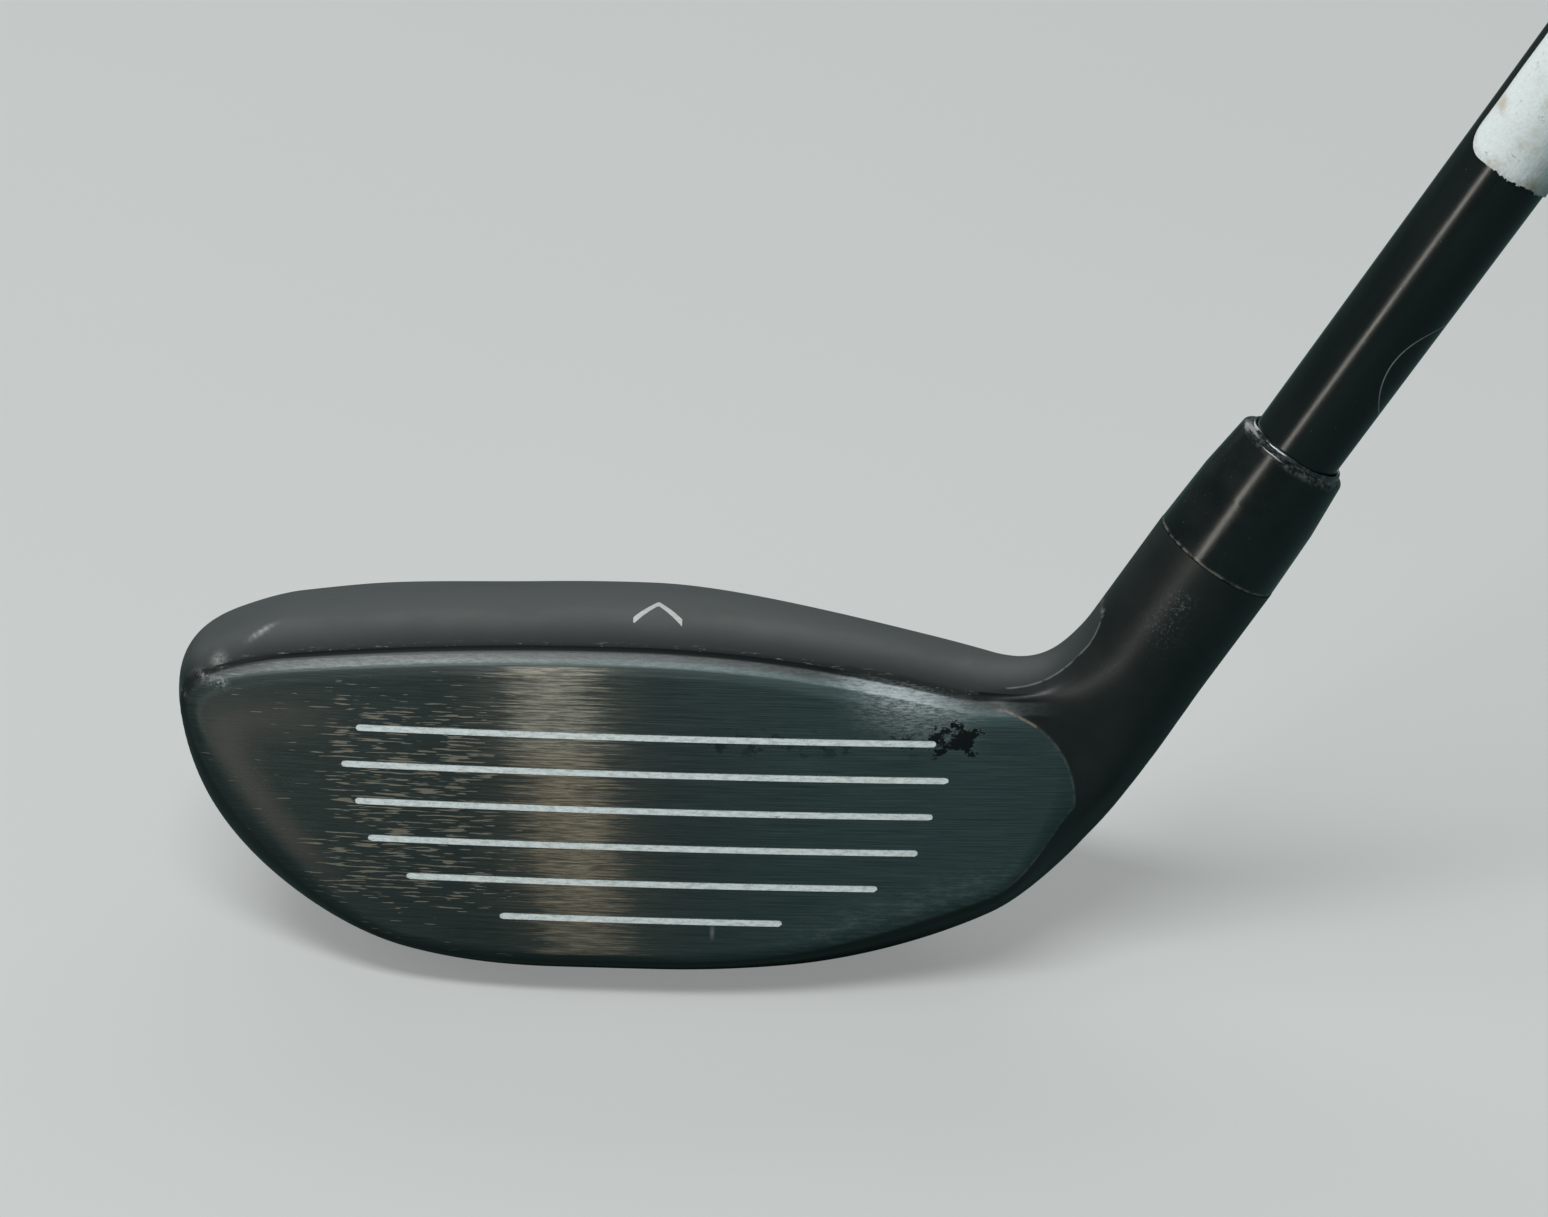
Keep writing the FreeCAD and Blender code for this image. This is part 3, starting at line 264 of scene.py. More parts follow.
def head_skin():
    """All-quad skin of the head, with a fan at the toe; open at the hosel end."""
    centres, ups = head_sections()
    angles = np.linspace(0, 2 * math.pi, AROUND, endpoint=False)
    directions = (
        np.array((0.0, 1.0, 0.0)) * np.cos(angles)[None, :, None]
        + ups[:, None, :] * np.sin(angles)[None, :, None])
    rings = cast(np.broadcast_to(centres[:, None, :], directions.shape), directions)
    points = rings.reshape(-1, 3)
    polygons = grid(len(rings), AROUND)
    tip = len(points)
    points = np.vstack([points, to_surface(rings[0].mean(0)[None])[0]])
    polygons += [(tip, (j + 1) % AROUND, j) for j in range(AROUND)]
    return points, polygons


def split(points, polygons, field):
    """Cuts polygons where the field passes zero. Returns all points, inside and outside polygons."""
    values = field(points)
    inside_point = (values < 0).tolist()
    cuts, mixed, inside, outside = {}, [], [], []
    for polygon in polygons:
        count = sum(inside_point[i] for i in polygon)
        if count == len(polygon):
            inside.append(polygon)
        elif count == 0:
            outside.append(polygon)
        else:
            mixed.append(polygon)
            for a, b in zip(polygon, polygon[1:] + polygon[:1]):
                if inside_point[a] != inside_point[b]:
                    cuts.setdefault((min(a, b), max(a, b)), len(points) + len(cuts))
    if not cuts:
        return points, inside, outside
    ends = np.array(list(cuts))
    first, second = points[ends[:, 0]], points[ends[:, 1]]
    low, high = np.zeros(len(ends)), np.ones(len(ends))
    first_inside = values[ends[:, 0]] < 0
    for _ in range(12):
        middle = (low + high) / 2
        same = (field(first + (second - first) * middle[:, None]) < 0) == first_inside
        low, high = np.where(same, middle, low), np.where(same, high, middle)
    middle = np.clip((low + high) / 2, 0.02, 0.98)
    added = first + (second - first) * middle[:, None]
    points = np.vstack([points, added])
    for polygon in mixed:
        pieces = {True: [], False: []}
        for a, b in zip(polygon, polygon[1:] + polygon[:1]):
            pieces[inside_point[a]].append(a)
            if inside_point[a] != inside_point[b]:
                cut = cuts[(min(a, b), max(a, b))]
                pieces[True].append(cut)
                pieces[False].append(cut)
        for side, target in ((True, inside), (False, outside)):
            if len(pieces[side]) > 2:
                target.append(tuple(pieces[side]))
    return points, inside, outside


# ------------------------------------------------------------------ mesh tools

def border(polygons):
    """Directed edges that only one polygon uses."""
    edges = {}
    for polygon in polygons:
        for a, b in zip(polygon, polygon[1:] + polygon[:1]):
            edges[(a, b)] = True
    return [(a, b) for a, b in edges if (b, a) not in edges]


def reverse(polygons):
    return [tuple(reversed(polygon)) for polygon in polygons]


def compact(points, polygons):
    """Keeps only the points that the polygons use."""
    used = sorted({i for polygon in polygons for i in polygon})
    place = {old: new for new, old in enumerate(used)}
    return points[used], [tuple(place[i] for i in polygon) for polygon in polygons], np.array(used)


def grid(rows, columns, closed_rows=False, closed_columns=True):
    """Quads between rows of points; either way round may close on itself."""
    quads = []
    for i in range(rows if closed_rows else rows - 1):
        here, there = i * columns, (i + 1) % rows * columns
        for j in range(columns if closed_columns else columns - 1):
            k = (j + 1) % columns
            quads.append((here + j, here + k, there + k, there + j))
    return quads


def in_scene(name, data):
    obj = bpy.data.objects.new(name, data)
    bpy.context.scene.collection.objects.link(obj)
    return obj


def link(name, mesh, material, body, stands_for):
    """Puts a finished mesh in the scene, on its body and in place of the CAD nodes it stands for."""
    obj = in_scene(name, mesh)
    mesh.materials.append(material)
    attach(obj, body)
    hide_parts(*stands_for)
    return obj


def store(mesh, name, values):
    values = np.asarray(values, np.float32)
    kind = "FLOAT_VECTOR" if values.ndim == 2 else "FLOAT"
    layer = mesh.attributes.new(name, kind, "POINT")
    layer.data.foreach_set("vector" if values.ndim == 2 else "value", values.ravel())


def head_piece(name, layers, material, stands_for):
    """Mesh from layers of (points, faces, smooth normals or None), all in head coordinates."""
    faces, normals = [], []
    points = np.vstack([layer_points for layer_points, _, _ in layers])
    for _, layer_faces, layer_normals in layers:
        faces += layer_faces
        normals += [layer_normals] * len(layer_faces)
    mesh = bpy.data.meshes.new(name)
    mesh.from_pydata(((points + HEAD_SHIFT) * MM).tolist(), [], faces)
    smooth, loop_normals = [], []
    for face, source in zip(faces, normals):
        smooth.append(source is not None)
        for corner in face:
            loop_normals.append(source[corner] if source is not None else (0.0, 0.0, 0.0))
    mesh.polygons.foreach_set("use_smooth", smooth)
    mesh.normals_split_custom_set(loop_normals)
    _, depth, uncut, gap, up, flared = head_parts(points)
    store(mesh, "face_at", np.stack([points[:, 0], up, depth], -1))
    store(mesh, "head_at", points)
    store(mesh, "edge", uncut - flared)
    store(mesh, "gap", gap)
    mesh.update()
    return link(name, mesh, material, "club", stands_for)


def shell_layers(points, polygons, normals, thickness, lift=0.0):
    """Closed shell under a patch of skin: the patch, its back and a wall all round."""
    points, polygons, used = compact(points, polygons)
    normals = normals[used]
    count = len(points)
    back = [tuple(i + count for i in polygon) for polygon in reverse(polygons)]
    walls = [(b, a, a + count, b + count) for a, b in border(polygons)]
    return [
        (points + normals * lift, polygons, normals.tolist()),
        (points + normals * (lift - thickness), back, None),
        (np.zeros((0, 3)), walls, None),
    ]


def shaft_frame(origin, axis):
    """Axes for turned parts: two square directions and the axis."""
    axis = np.asarray(axis, float)
    axis = axis / np.linalg.norm(axis)
    first = np.array((0.0, 1.0, 0.0))
    first = first - axis * (first @ axis)
    first /= np.linalg.norm(first)
    return np.asarray(origin, float), first, np.cross(axis, first), axis


CLUB_FRAME = shaft_frame(FOOT / MM, mounts["grip_vent"]["axis"])


def rounded_profile(corners):
    """(station, radius, corner radius) corners of a closed outline, with the corners rounded."""
    outline = []
    count = len(corners)
    for i, (s, r, fillet) in enumerate(corners):
        here = np.array((s, r), float)
        if fillet == 0:
            outline.append(tuple(here))
            continue
        before = np.array(corners[i - 1][:2], float) - here
        after = np.array(corners[(i + 1) % count][:2], float) - here
        before /= np.linalg.norm(before)
        after /= np.linalg.norm(after)
        half = math.acos(float(np.clip(before @ after, -1, 1))) / 2
        cut = fillet / math.tan(half)
        steps = 7
        for k in range(steps + 1):
            t = k / steps
            start, end = here + before * cut, here + after * cut
            outline.append(tuple((1 - t) ** 2 * start + 2 * t * (1 - t) * here + t * t * end))
    return outline


def smooth_mesh(name, points, faces, sharp, stored):
    """Smooth-shaded mesh from millimetres, with edges over the sharp angle kept crisp."""
    mesh = bpy.data.meshes.new(name)
    mesh.from_pydata((points * MM).tolist(), [], faces)
    mesh.polygons.foreach_set("use_smooth", [True] * len(faces))
    mesh.set_sharp_from_angle(angle=math.radians(sharp))
    for key, values in stored.items():
        store(mesh, key, values)
    mesh.update()
    return mesh


def lathe(name, rows, count, axes, material, body, stands_for, closed=True, sharp=40.0):
    """Turned mesh. Each row is (station, radius), plain numbers or one value for each angle."""
    origin, first, second, axis = axes
    angles = np.linspace(0, 2 * math.pi, count, endpoint=False)
    around = first * np.cos(angles)[:, None] + second * np.sin(angles)[:, None]
    points, wraps = [], []
    for station, radius in rows:
        station = np.broadcast_to(np.asarray(station, float), (count,))
        radius = np.broadcast_to(np.asarray(radius, float), (count,))
        points.append(origin + axis * station[:, None] + around * radius[:, None])
        wraps.append(np.stack([station, angles * 180 / math.pi, radius], -1))
    faces = grid(len(rows), count, closed)
    if not closed:
        faces.append(tuple(reversed(range(count))))
        faces.append(tuple(range((len(rows) - 1) * count, len(rows) * count)))
    mesh = smooth_mesh(name, np.vstack(points), faces, sharp, {"wrap": np.vstack(wraps)})
    return link(name, mesh, material, body, stands_for)


# ------------------------------------------------------------------- materials

class Shader:
    """A material with short calls for the nodes the finishes share."""

    def __init__(self, name):
        self.material = bpy.data.materials.new(name)
        self.material.use_nodes = True
        self.tree = self.material.node_tree
        self.surface = self.tree.nodes["Principled BSDF"]

    def node(self, kind, inputs=None, output=0, **settings):
        """New node; returns one of its outputs."""
        made = self.tree.nodes.new(kind)
        for key, value in settings.items():
            setattr(made, key, value)
        for key, value in (inputs or {}).items():
            self.plug(made.inputs[key], value)
        return made.outputs[output]

    def plug(self, socket, value):
        if isinstance(value, bpy.types.NodeSocket):
            self.tree.links.new(value, socket)
        else:
            socket.default_value = value

    def set(self, **inputs):
        for key, value in inputs.items():
            self.plug(self.surface.inputs[key.replace("_", " ")], value)

    def attribute(self, name, vector=False):
        return self.node("ShaderNodeAttribute", output="Vector" if vector else "Fac", attribute_name=name)

    def position(self):
        return self.node("ShaderNodeTexCoord", output="Object")

    def stretch(self, vector, scale, shift=(0, 0, 0)):
        return self.node("ShaderNodeMapping", {"Vector": vector, "Scale": scale, "Location": shift})

    def millimetres(self):
        return self.stretch(self.position(), (1 / MM, 1 / MM, 1 / MM))

    def noise(self, vector, scale, detail=3, roughness=0.5):
        return self.node("ShaderNodeTexNoise", {
            "Vector": vector, "Scale": scale, "Detail": detail, "Roughness": roughness})

    def streaks(self, vector, scale, detail, roughness=0.5, shift=(0, 0, 0)):
        """Noise with its own scale along each axis."""
        return self.noise(self.stretch(vector, scale, shift), 1, detail, roughness)

    def cells(self, vector, scale):
        return self.node("ShaderNodeTexVoronoi", {"Vector": vector, "Scale": scale})

    def calc(self, operation, *values):
        return self.node("ShaderNodeMath", dict(enumerate(values)), operation=operation)

    def plus(self, a, b):
        return self.calc("ADD", a, b)

    def minus(self, a, b):
        return self.calc("SUBTRACT", a, b)

    def rest(self, a):
        return self.minus(1, a)

    def scaled(self, a, gain, added):
        return self.calc("MULTIPLY_ADD", a, gain, added)

    def times(self, *values):
        return functools.reduce(lambda a, b: self.calc("MULTIPLY", a, b), values)

    def most(self, *values):
        return functools.reduce(lambda a, b: self.calc("MAXIMUM", a, b), values)

    def rise(self, value, start, end, low=0, high=1):
        """Smooth change from low to high as value goes from start to end."""
        return self.node("ShaderNodeMapRange", {
            "Value": value, "From Min": start, "From Max": end, "To Min": low, "To Max": high},
            interpolation_type="SMOOTHSTEP")

    def spread(self, noise, low=0, high=1):
        """Noise stretched from its usual range to low and high."""
        return self.rise(noise, 0.3, 0.7, low, high)

    def bump_at(self, value, centre, width):
        """Soft hill of the value around a centre."""
        return self.rise(self.calc("ABSOLUTE", self.minus(value, centre)), width, 0)

    def window(self, value, start, end, soft):
        return self.times(
            self.rise(value, start - soft, start + soft), self.rise(value, end + soft, end - soft))

    def mix(self, factor, a, b):
        """Blend of two colours, given as outputs or as red, green and blue."""
        a, b = ((*tone, 1) if isinstance(tone, tuple) else tone for tone in (a, b))
        return self.node("ShaderNodeMix", {0: factor, 6: a, 7: b}, output=2, data_type="RGBA")

    def blend(self, factor, a, b):
        """Blend of two values."""
        return self.node("ShaderNodeMix", {0: factor, 2: a, 3: b}, data_type="FLOAT")

    def split_vector(self, vector):
        return self.node("ShaderNodeSeparateXYZ", {"Vector": vector}, output=slice(3))

    def bump(self, height, strength, distance):
        self.set(Normal=self.node(
            "ShaderNodeBump", {"Height": height, "Strength": strength, "Distance": distance}))


# Finishes of the head, in millimetres on the face and on the head.

def crown_tones(s, head_at):
    """Matte charcoal paint of the crown: colour and grain, with painted shade towards the topline edge."""
    cloud = s.noise(head_at, 0.12, 4, 0.6)
    grain = s.noise(head_at, 7, 3, 0.6)
    colour = s.mix(s.spread(cloud), (0.023, 0.0285, 0.0285), (0.031, 0.0375, 0.037))
    colour = s.mix(s.times(s.rise(grain, 0.5, 0.8), 0.25), colour, (0.06, 0.066, 0.065))
    specks = s.times(
        s.rise(s.cells(head_at, 1.3), 0.075, 0.04), s.rise(s.noise(head_at, 0.3, 2), 0.48, 0.6))
    colour = s.mix(s.times(specks, 0.3), colour, (0.26, 0.26, 0.25))
    # Painted shade: the paint darkens towards the topline edge, where the roll turns away from the light.
    colour = s.mix(s.rise(s.attribute("edge"), 6, 0.4, 0, 0.8), colour, (0.008, 0.0105, 0.0105))
    return colour, cloud, grain


def coating_colour(s, head_at):
    """Satin black of the casting, with specks, rubbed dust on the neck and the paint's masking line."""
    cloud = s.noise(head_at, 0.22, 3)
    black = s.mix(s.spread(cloud), (0.0075, 0.0105, 0.0103), (0.0125, 0.0155, 0.015))
    crown, _, _ = crown_tones(s, head_at)
    black = s.mix(s.rise(s.attribute("paint"), 0.05, -0.05), black, crown)
    specks = s.times(
        s.rise(s.cells(head_at, 1.5), 0.085, 0.05), s.rise(s.noise(head_at, 0.5, 2), 0.54, 0.64))
    black = s.mix(s.times(specks, 0.35), black, (0.22, 0.22, 0.21))
    flecks = s.rise(s.noise(head_at, 3.4, 4, 0.8), 0.55, 0.62)
    black = s.mix(s.times(s.attribute("dust"), flecks, 0.5), black, (0.28, 0.33, 0.32))
    broken = s.rise(s.noise(head_at, 1, 3), 0.34, 0.52)
    return s.mix(s.times(s.attribute("mask_line"), broken, 0.6), black, (0.26, 0.26, 0.25))


def brushed_colour(s, face_at, x, up, edge):
    """Dark brushed face: a bright copper-tinted painted reflection down it, worn dashes towards the toe, scuffed
    heel corner; painted light also makes it lighter towards the heel and puts a brown sheen on the toe edge.
    """
    streak = s.streaks(face_at, (0.1, 9, 0), 5, 0.7)
    fine = s.streaks(face_at, (0.4, 24, 0), 3, 0.6)
    # Painted light: the brushed steel is lighter towards the heel.
    heelward = s.rise(x, -14, 30)
    steel = s.mix(heelward, (0.034, 0.048, 0.046), (0.058, 0.096, 0.099))
    dark = s.mix(0.55, steel, (0.008, 0.014, 0.014))
    steel = s.mix(s.rise(streak, 0.32, 0.68), dark, steel)
    steel = s.mix(s.times(s.rise(fine, 0.5, 0.8), 0.45), steel, (0.105, 0.135, 0.135))

    # Painted reflection: a bright copper stripe down the face that wavers sideways, is whiter up the face and
    # fainter low down.
    line_shift = s.scaled(s.streaks(face_at, (0.05, 4, 0), 5, 0.85), 24, -12)
    centre = s.scaled(up, -0.155, -7.4)
    off = s.calc("ABSOLUTE", s.minus(s.plus(x, line_shift), centre))
    reflection_band = s.most(s.rise(off, 6.4, 1.8), s.times(s.rise(off, 12, 2), 0.2))
    lines = s.rise(s.streaks(face_at, (0.28, 5.5, 0), 5, 0.75, (7, 3, 0)), 0.4, 0.62)
    lines = s.scaled(lines, 0.72, 0.28)
    fade = s.rise(up, -15, -3, 0.6, 1)
    reflection_tint = s.mix(s.rise(fine, 0.35, 0.75), (0.33, 0.25, 0.175), (0.58, 0.475, 0.35))
    reflection_tint = s.mix(s.rise(up, 4, 11, 0, 0.5), reflection_tint, (0.62, 0.6, 0.52))
    steel = s.mix(s.times(reflection_band, lines, fade, s.rise(edge, -0.62, -0.9), 0.9), steel, reflection_tint)

    dash = s.streaks(face_at, (0.34, 5, 0), 2, 0.45, (0, 11, 0))
    dash_area = s.times(s.window(x, -33, -15, 4.5), s.window(up, -9, 12.5, 3))
    patchy = s.streaks(face_at, (0.14, 0.4, 0), 2, 0.5, (3, 5, 0))
    lift = s.scaled(dash_area, 0.135, s.scaled(patchy, 0.22, -0.11))
    dashes = s.rise(s.plus(dash, lift), 0.695, 0.74)
    dashes = s.times(dashes, s.rise(x, -6, -13))
    steel = s.mix(s.times(dashes, 0.72), steel, (0.3, 0.26, 0.205))

    # Painted reflection: a brown sheen on the rounded toe edge.
    toe_sheen = s.times(s.window(edge, -4.6, -2.2, 1.6), s.rise(x, -29, -36), s.rise(up, 14, 8))
    steel = s.mix(s.times(toe_sheen, 0.55), steel, (0.105, 0.092, 0.078))
    scuff_noise = s.streaks(face_at, (0.45, 1.9, 0), 5, 0.8)
    low_scuff = s.times(
        s.rise(edge, -5.5, -0.8), s.window(x, 16, 40, 6), s.rise(up, 2, -6),
        s.rise(scuff_noise, 0.42, 0.7))
    steel = s.mix(s.times(low_scuff, 0.55), steel, (0.17, 0.2, 0.195))
    nick = s.times(s.bump_at(x, 7.3, 0.35), s.bump_at(up, -10.4, 1.1))
    steel = s.mix(s.times(nick, 0.6), steel, (0.3, 0.31, 0.3))
    return steel, streak, dashes


def print_flakes(s, face_at, x, up):
    """Remains of worn gloss print: shapeless flakes, most of them at the heel end."""
    grit = s.streaks(face_at, (0.55, 0.75, 0), 5, 0.75, (1.5, 0.4, 0))
    wander = s.scaled(s.streaks(face_at, (0.5, 0.5, 0), 2, 0.5, (4, 8, 0)), 3.2, -1.6)
    along, height = s.plus(x, wander), s.plus(up, s.times(wander, 0.7))
    big = s.times(s.window(along, 29.4, 33.8, 1.2), s.window(height, 8.4, 11.2, 1.1))
    middle = s.times(s.window(along, 24.5, 28, 1.5), s.window(height, 8.6, 10.6, 1.2))
    faint = s.times(s.window(along, 5, 22, 2), s.window(height, 8, 10.2, 1.2))
    chance = s.plus(s.times(big, 0.16), s.plus(s.times(middle, 0.085), s.times(faint, 0.075)))
    solid = s.rise(s.plus(grit, chance), 0.59, 0.605)
    area = s.most(s.rise(big, 0, 0.3), s.most(s.times(middle, 0.9), s.times(faint, 0.45)))
    return s.times(solid, area)


def topline_strip(s, face_at, x, edge):
    """The worn bevel, a narrow strip a little wider towards the heel, and a painted sheen on the rubbed face below
    it.
    """
    rough_edge = s.calc(
        "MULTIPLY_ADD", s.streaks(face_at, (0.9, 2, 2), 4, 0.75), 0.3, -0.15)
    across = s.plus(edge, rough_edge)
    low = s.rise(x, -20, 6, -0.38, -0.52)
    high = s.rise(x, -20, 6, 0.46, 0.58)
    narrow = s.times(
        s.rise(s.minus(across, low), -0.08, 0.08),
        s.rise(s.minus(across, high), 0.08, -0.08))
    # Where the face below the bevel gets its painted sheen, towards the heel.
    flare = s.times(s.window(across, -3, 0.6, 1.3), s.bump_at(x, 27, 9))
    return narrow, flare


def head_metal(name):
    """Brushed dark face, worn bevel and satin black coating of the cast head, with painted light: a highlight
    along the bevel, a sheen below it, shade beside it and a highlight on the heel edge of the face.
    """
    s = Shader(name)
    face_at = s.attribute("face_at", vector=True)
    head_at = s.attribute("head_at", vector=True)
    edge = s.attribute("edge")
    rim = s.most(edge, s.attribute("gap"))
    x, up, _ = s.split_vector(face_at)
    grain = s.noise(head_at, 9, 2)
    black = coating_colour(s, head_at)
    steel, streak, dashes = brushed_colour(s, face_at, x, up, rim)
    on_face = s.rise(rim, 0.25, -0.25)
    colour = s.mix(on_face, black, steel)

    narrow, flare = topline_strip(s, face_at, x, edge)
    along_top = s.times(s.rise(up, 5.5, 9.5), s.rise(x, 43, 36), s.rise(x, -47, -43))
    worn = s.times(narrow, along_top)
    spark = s.rise(s.streaks(face_at, (0.9, 4, 4), 5, 0.8), 0.34, 0.64)
    grit = s.rise(s.streaks(face_at, (1.1, 6, 6), 4, 0.8, (5, 2, 0)), 0.4, 0.62)
    # Painted highlight: the worn bevel is brightest around 25.5 mm towards the heel.
    bright = s.scaled(s.bump_at(x, 25.5, 9), 0.62, s.rise(x, -30, -6, 0.13, 0.08))
    shine = s.times(worn, bright, s.scaled(spark, 0.9, 0.4))
    haze = s.times(flare, along_top, s.scaled(grit, 0.62, 0.08))
    beside = s.times(s.window(edge, 0.68, 1.6, 0.1), along_top)
    lip = s.times(s.window(edge, -1.15, -0.6, 0.12), along_top)
    dull = s.most(beside, lip)
    # Painted shade: a dark strip on the crown just above the bevel.
    colour = s.mix(s.times(beside, 0.8), colour, (0.004, 0.0065, 0.0065))
    # Painted sheen on the face below the bevel, with the metallic finish of rubbed bare metal.
    colour = s.mix(haze, colour, (0.46, 0.5, 0.51))
    colour = s.mix(shine, colour, s.mix(s.rise(x, -14, 4), (0.53, 0.56, 0.54), (0.58, 0.64, 0.66)))
    flakes = s.times(print_flakes(s, face_at, x, up), on_face)
    colour = s.mix(s.times(flakes, 0.96), colour, (0.0022, 0.003, 0.003))

    # Thin line round the heel end of the face, copper then grey: partly a worn edge, partly a painted highlight.
    heel_line = s.times(
        s.bump_at(rim, -0.05, 0.22), s.rise(x, 35, 36.5), s.window(up, -4, 12.9, 2),
        s.rise(s.noise(head_at, 1.6, 4, 0.7), 0.34, 0.6))
    warm_part = s.rise(x, 41.5, 38.5)
    colour = s.mix(
        s.times(heel_line, s.scaled(warm_part, 0.5, 0.35)), colour,
        s.mix(warm_part, (0.17, 0.2, 0.19), (0.4, 0.29, 0.22)))
    toe_nicks = s.times(s.attribute("toe_nick"), s.rise(s.noise(head_at, 1.5, 5, 0.8), 0.5, 0.58))
    colour = s.mix(s.times(toe_nicks, 0.8), colour, (0.42, 0.43, 0.41))

    bare = s.most(shine, haze)
    metal = s.most(s.times(on_face, 0.45), s.times(bare, 0.75))
    metal = s.calc("MINIMUM", metal, s.rest(s.most(flakes, dull)))
    roughness = s.blend(
        on_face, s.spread(grain, 0.36, 0.44), s.spread(streak, 0.36, 0.48))
    painted = s.rise(s.attribute("paint"), 0.05, -0.05)
    painted = s.times(painted, s.rest(on_face))
    roughness = s.blend(painted, roughness, 0.55)
    gloss = s.blend(painted, s.rise(dull, 0, 1, 0.45, 0.12), s.rise(edge, 6, 0.4, 0.5, 0.2))
    roughness = s.blend(flakes, roughness, 0.12)
    roughness = s.blend(bare, roughness, 0.36)
    s.set(
        Base_Color=colour, Metallic=metal, Roughness=roughness,
        Specular_IOR_Level=gloss)
    relief = s.blend(on_face, s.times(grain, 0.5), s.plus(streak, s.times(flakes, 0.5)))
    relief = s.plus(relief, s.times(dashes, -0.6))
    s.bump(relief, 0.35, 0.00004)
    return s.material


def crown_paint():
    s = Shader("crown_matte_paint")
    head_at = s.attribute("head_at", vector=True)
    face_at = s.attribute("face_at", vector=True)
    edge = s.attribute("edge")
    colour, cloud, grain = crown_tones(s, head_at)
    chip_noise = s.streaks(face_at, (0.5, 2, 2), 5, 0.8)
    chips = s.times(s.rise(edge, 2.2, 1), s.rise(chip_noise, 0.58, 0.63))
    colour = s.mix(s.times(chips, 0.55), colour, (0.3, 0.31, 0.3))
    nick = s.times(s.attribute("toe_nick"), s.rise(s.noise(head_at, 1.8, 4, 0.7), 0.34, 0.5))
    colour = s.mix(s.times(nick, 0.75), colour, (0.4, 0.41, 0.4))
    s.set(
        Base_Color=colour, Roughness=s.spread(cloud, 0.5, 0.6),
        Specular_IOR_Level=s.rise(edge, 6, 0.4, 0.5, 0.2))
    s.bump(grain, 0.25, 0.00003)
    return s.material


def groove_white():
    s = Shader("groove_white_paint")
    at = s.attribute("face_at", vector=True)
    dirt = s.streaks(at, (0.9, 3, 1), 5, 0.8)
    colour = s.mix(s.rise(dirt, 0.4, 0.66), (0.84, 0.88, 0.88), (0.52, 0.56, 0.55))
    chips = s.rise(s.streaks(at, (0.55, 2.6, 1), 4, 0.75, (9, 2, 0)), 0.69, 0.715)
    rust = s.streaks(at, (0.2, 1, 1), 1)
    bare = s.mix(s.rise(rust, 0.45, 0.55), (0.045, 0.04, 0.04), (0.16, 0.075, 0.035))
    colour = s.mix(chips, colour, bare)
    s.set(Base_Color=colour, Roughness=s.spread(dirt, 0.35, 0.6), Specular_IOR_Level=0.35)
    s.bump(s.minus(s.times(dirt, 0.4), chips), 0.5, 0.00006)
    return s.material


def mark_ink():
    s = Shader("mark_grey_ink")
    at = s.attribute("head_at", vector=True)
    worn = s.noise(at, 2.4, 5, 0.8)
    colour = s.mix(s.rise(worn, 0.5, 0.72), (0.52, 0.52, 0.52), (0.24, 0.23, 0.23))
    s.set(Base_Color=colour, Roughness=s.spread(worn, 0.42, 0.6))
    s.bump(worn, 0.3, 0.00002)
    return s.material


def badge_resin():
    """Sole badge: dark gloss resin with brushed slanting stripes under it and rubbed edges."""
    s = Shader("badge_gloss_resin")
    at = s.attribute("head_at", vector=True)
    x, y, _ = s.split_vector(at)
    slant = s.scaled(y, 0.55, x)
    stripe = s.calc("PINGPONG", s.plus(slant, 40), 2.4)
    bars = s.times(s.rise(stripe, 1.55, 1.65), s.window(y, 11.2, 18.8, 0.05))
    brush = s.streaks(at, (0.25, 8, 0), 4, 0.7)
    base = s.mix(s.spread(brush), (0.01, 0.011, 0.012), (0.026, 0.027, 0.029))
    silver = s.mix(s.spread(brush), (0.26, 0.27, 0.28), (0.48, 0.49, 0.5))
    colour = s.mix(s.times(bars, 0.9), base, silver)
    scuffs = s.rise(s.streaks(at, (0.5, 2.2, 0.5), 5, 0.8, (3, 1, 0)), 0.6, 0.66)
    colour = s.mix(s.times(scuffs, 0.35), colour, (0.3, 0.29, 0.28))
    s.set(Base_Color=colour, Metallic=s.times(bars, 0.7), Roughness=s.blend(scuffs, 0.16, 0.5))
    s.set(Coat_Weight=0.6, Coat_Roughness=0.08)
    s.bump(s.minus(s.times(brush, 0.2), scuffs), 0.3, 0.00003)
    return s.material


def machined_steel():
    s = Shader("weight_machined_steel")
    at = s.attribute("wrap", vector=True)
    turning = s.streaks(at, (6, 0.01, 14), 3, 0.6)
    spots = s.noise(s.position(), 700, 4, 0.7)
    colour = s.mix(s.spread(turning), (0.2, 0.2, 0.205), (0.36, 0.36, 0.365))
    colour = s.mix(s.times(s.rise(spots, 0.58, 0.7), 0.5), colour, (0.07, 0.06, 0.055))
    s.set(Base_Color=colour, Metallic=0.9, Roughness=s.spread(spots, 0.26, 0.42))
    s.bump(turning, 0.35, 0.00003)
    return s.material


def plain_finish(name, dark, light, scale, roughness, depth, metallic=0, stretched=(1, 1, 1)):
    """Mottled finish for the pieces inside the club: two tones, uneven gloss and fine relief."""
    s = Shader(name)
    at = s.stretch(s.position(), tuple(1000 * v for v in stretched))
    cloud = s.noise(at, scale, 5, 0.65)
    grain = s.noise(at, scale * 9, 2)
    colour = s.mix(s.spread(cloud), dark, light)
    colour = s.mix(s.times(s.rise(grain, 0.55, 0.8), 0.3), colour, tuple(v * 0.6 for v in dark))
    low, high = roughness
    s.set(Base_Color=colour, Metallic=metallic, Roughness=s.spread(cloud, low, high))
    s.bump(s.plus(cloud, s.times(grain, 0.4)), 0.5, depth * MM)
    return s.material


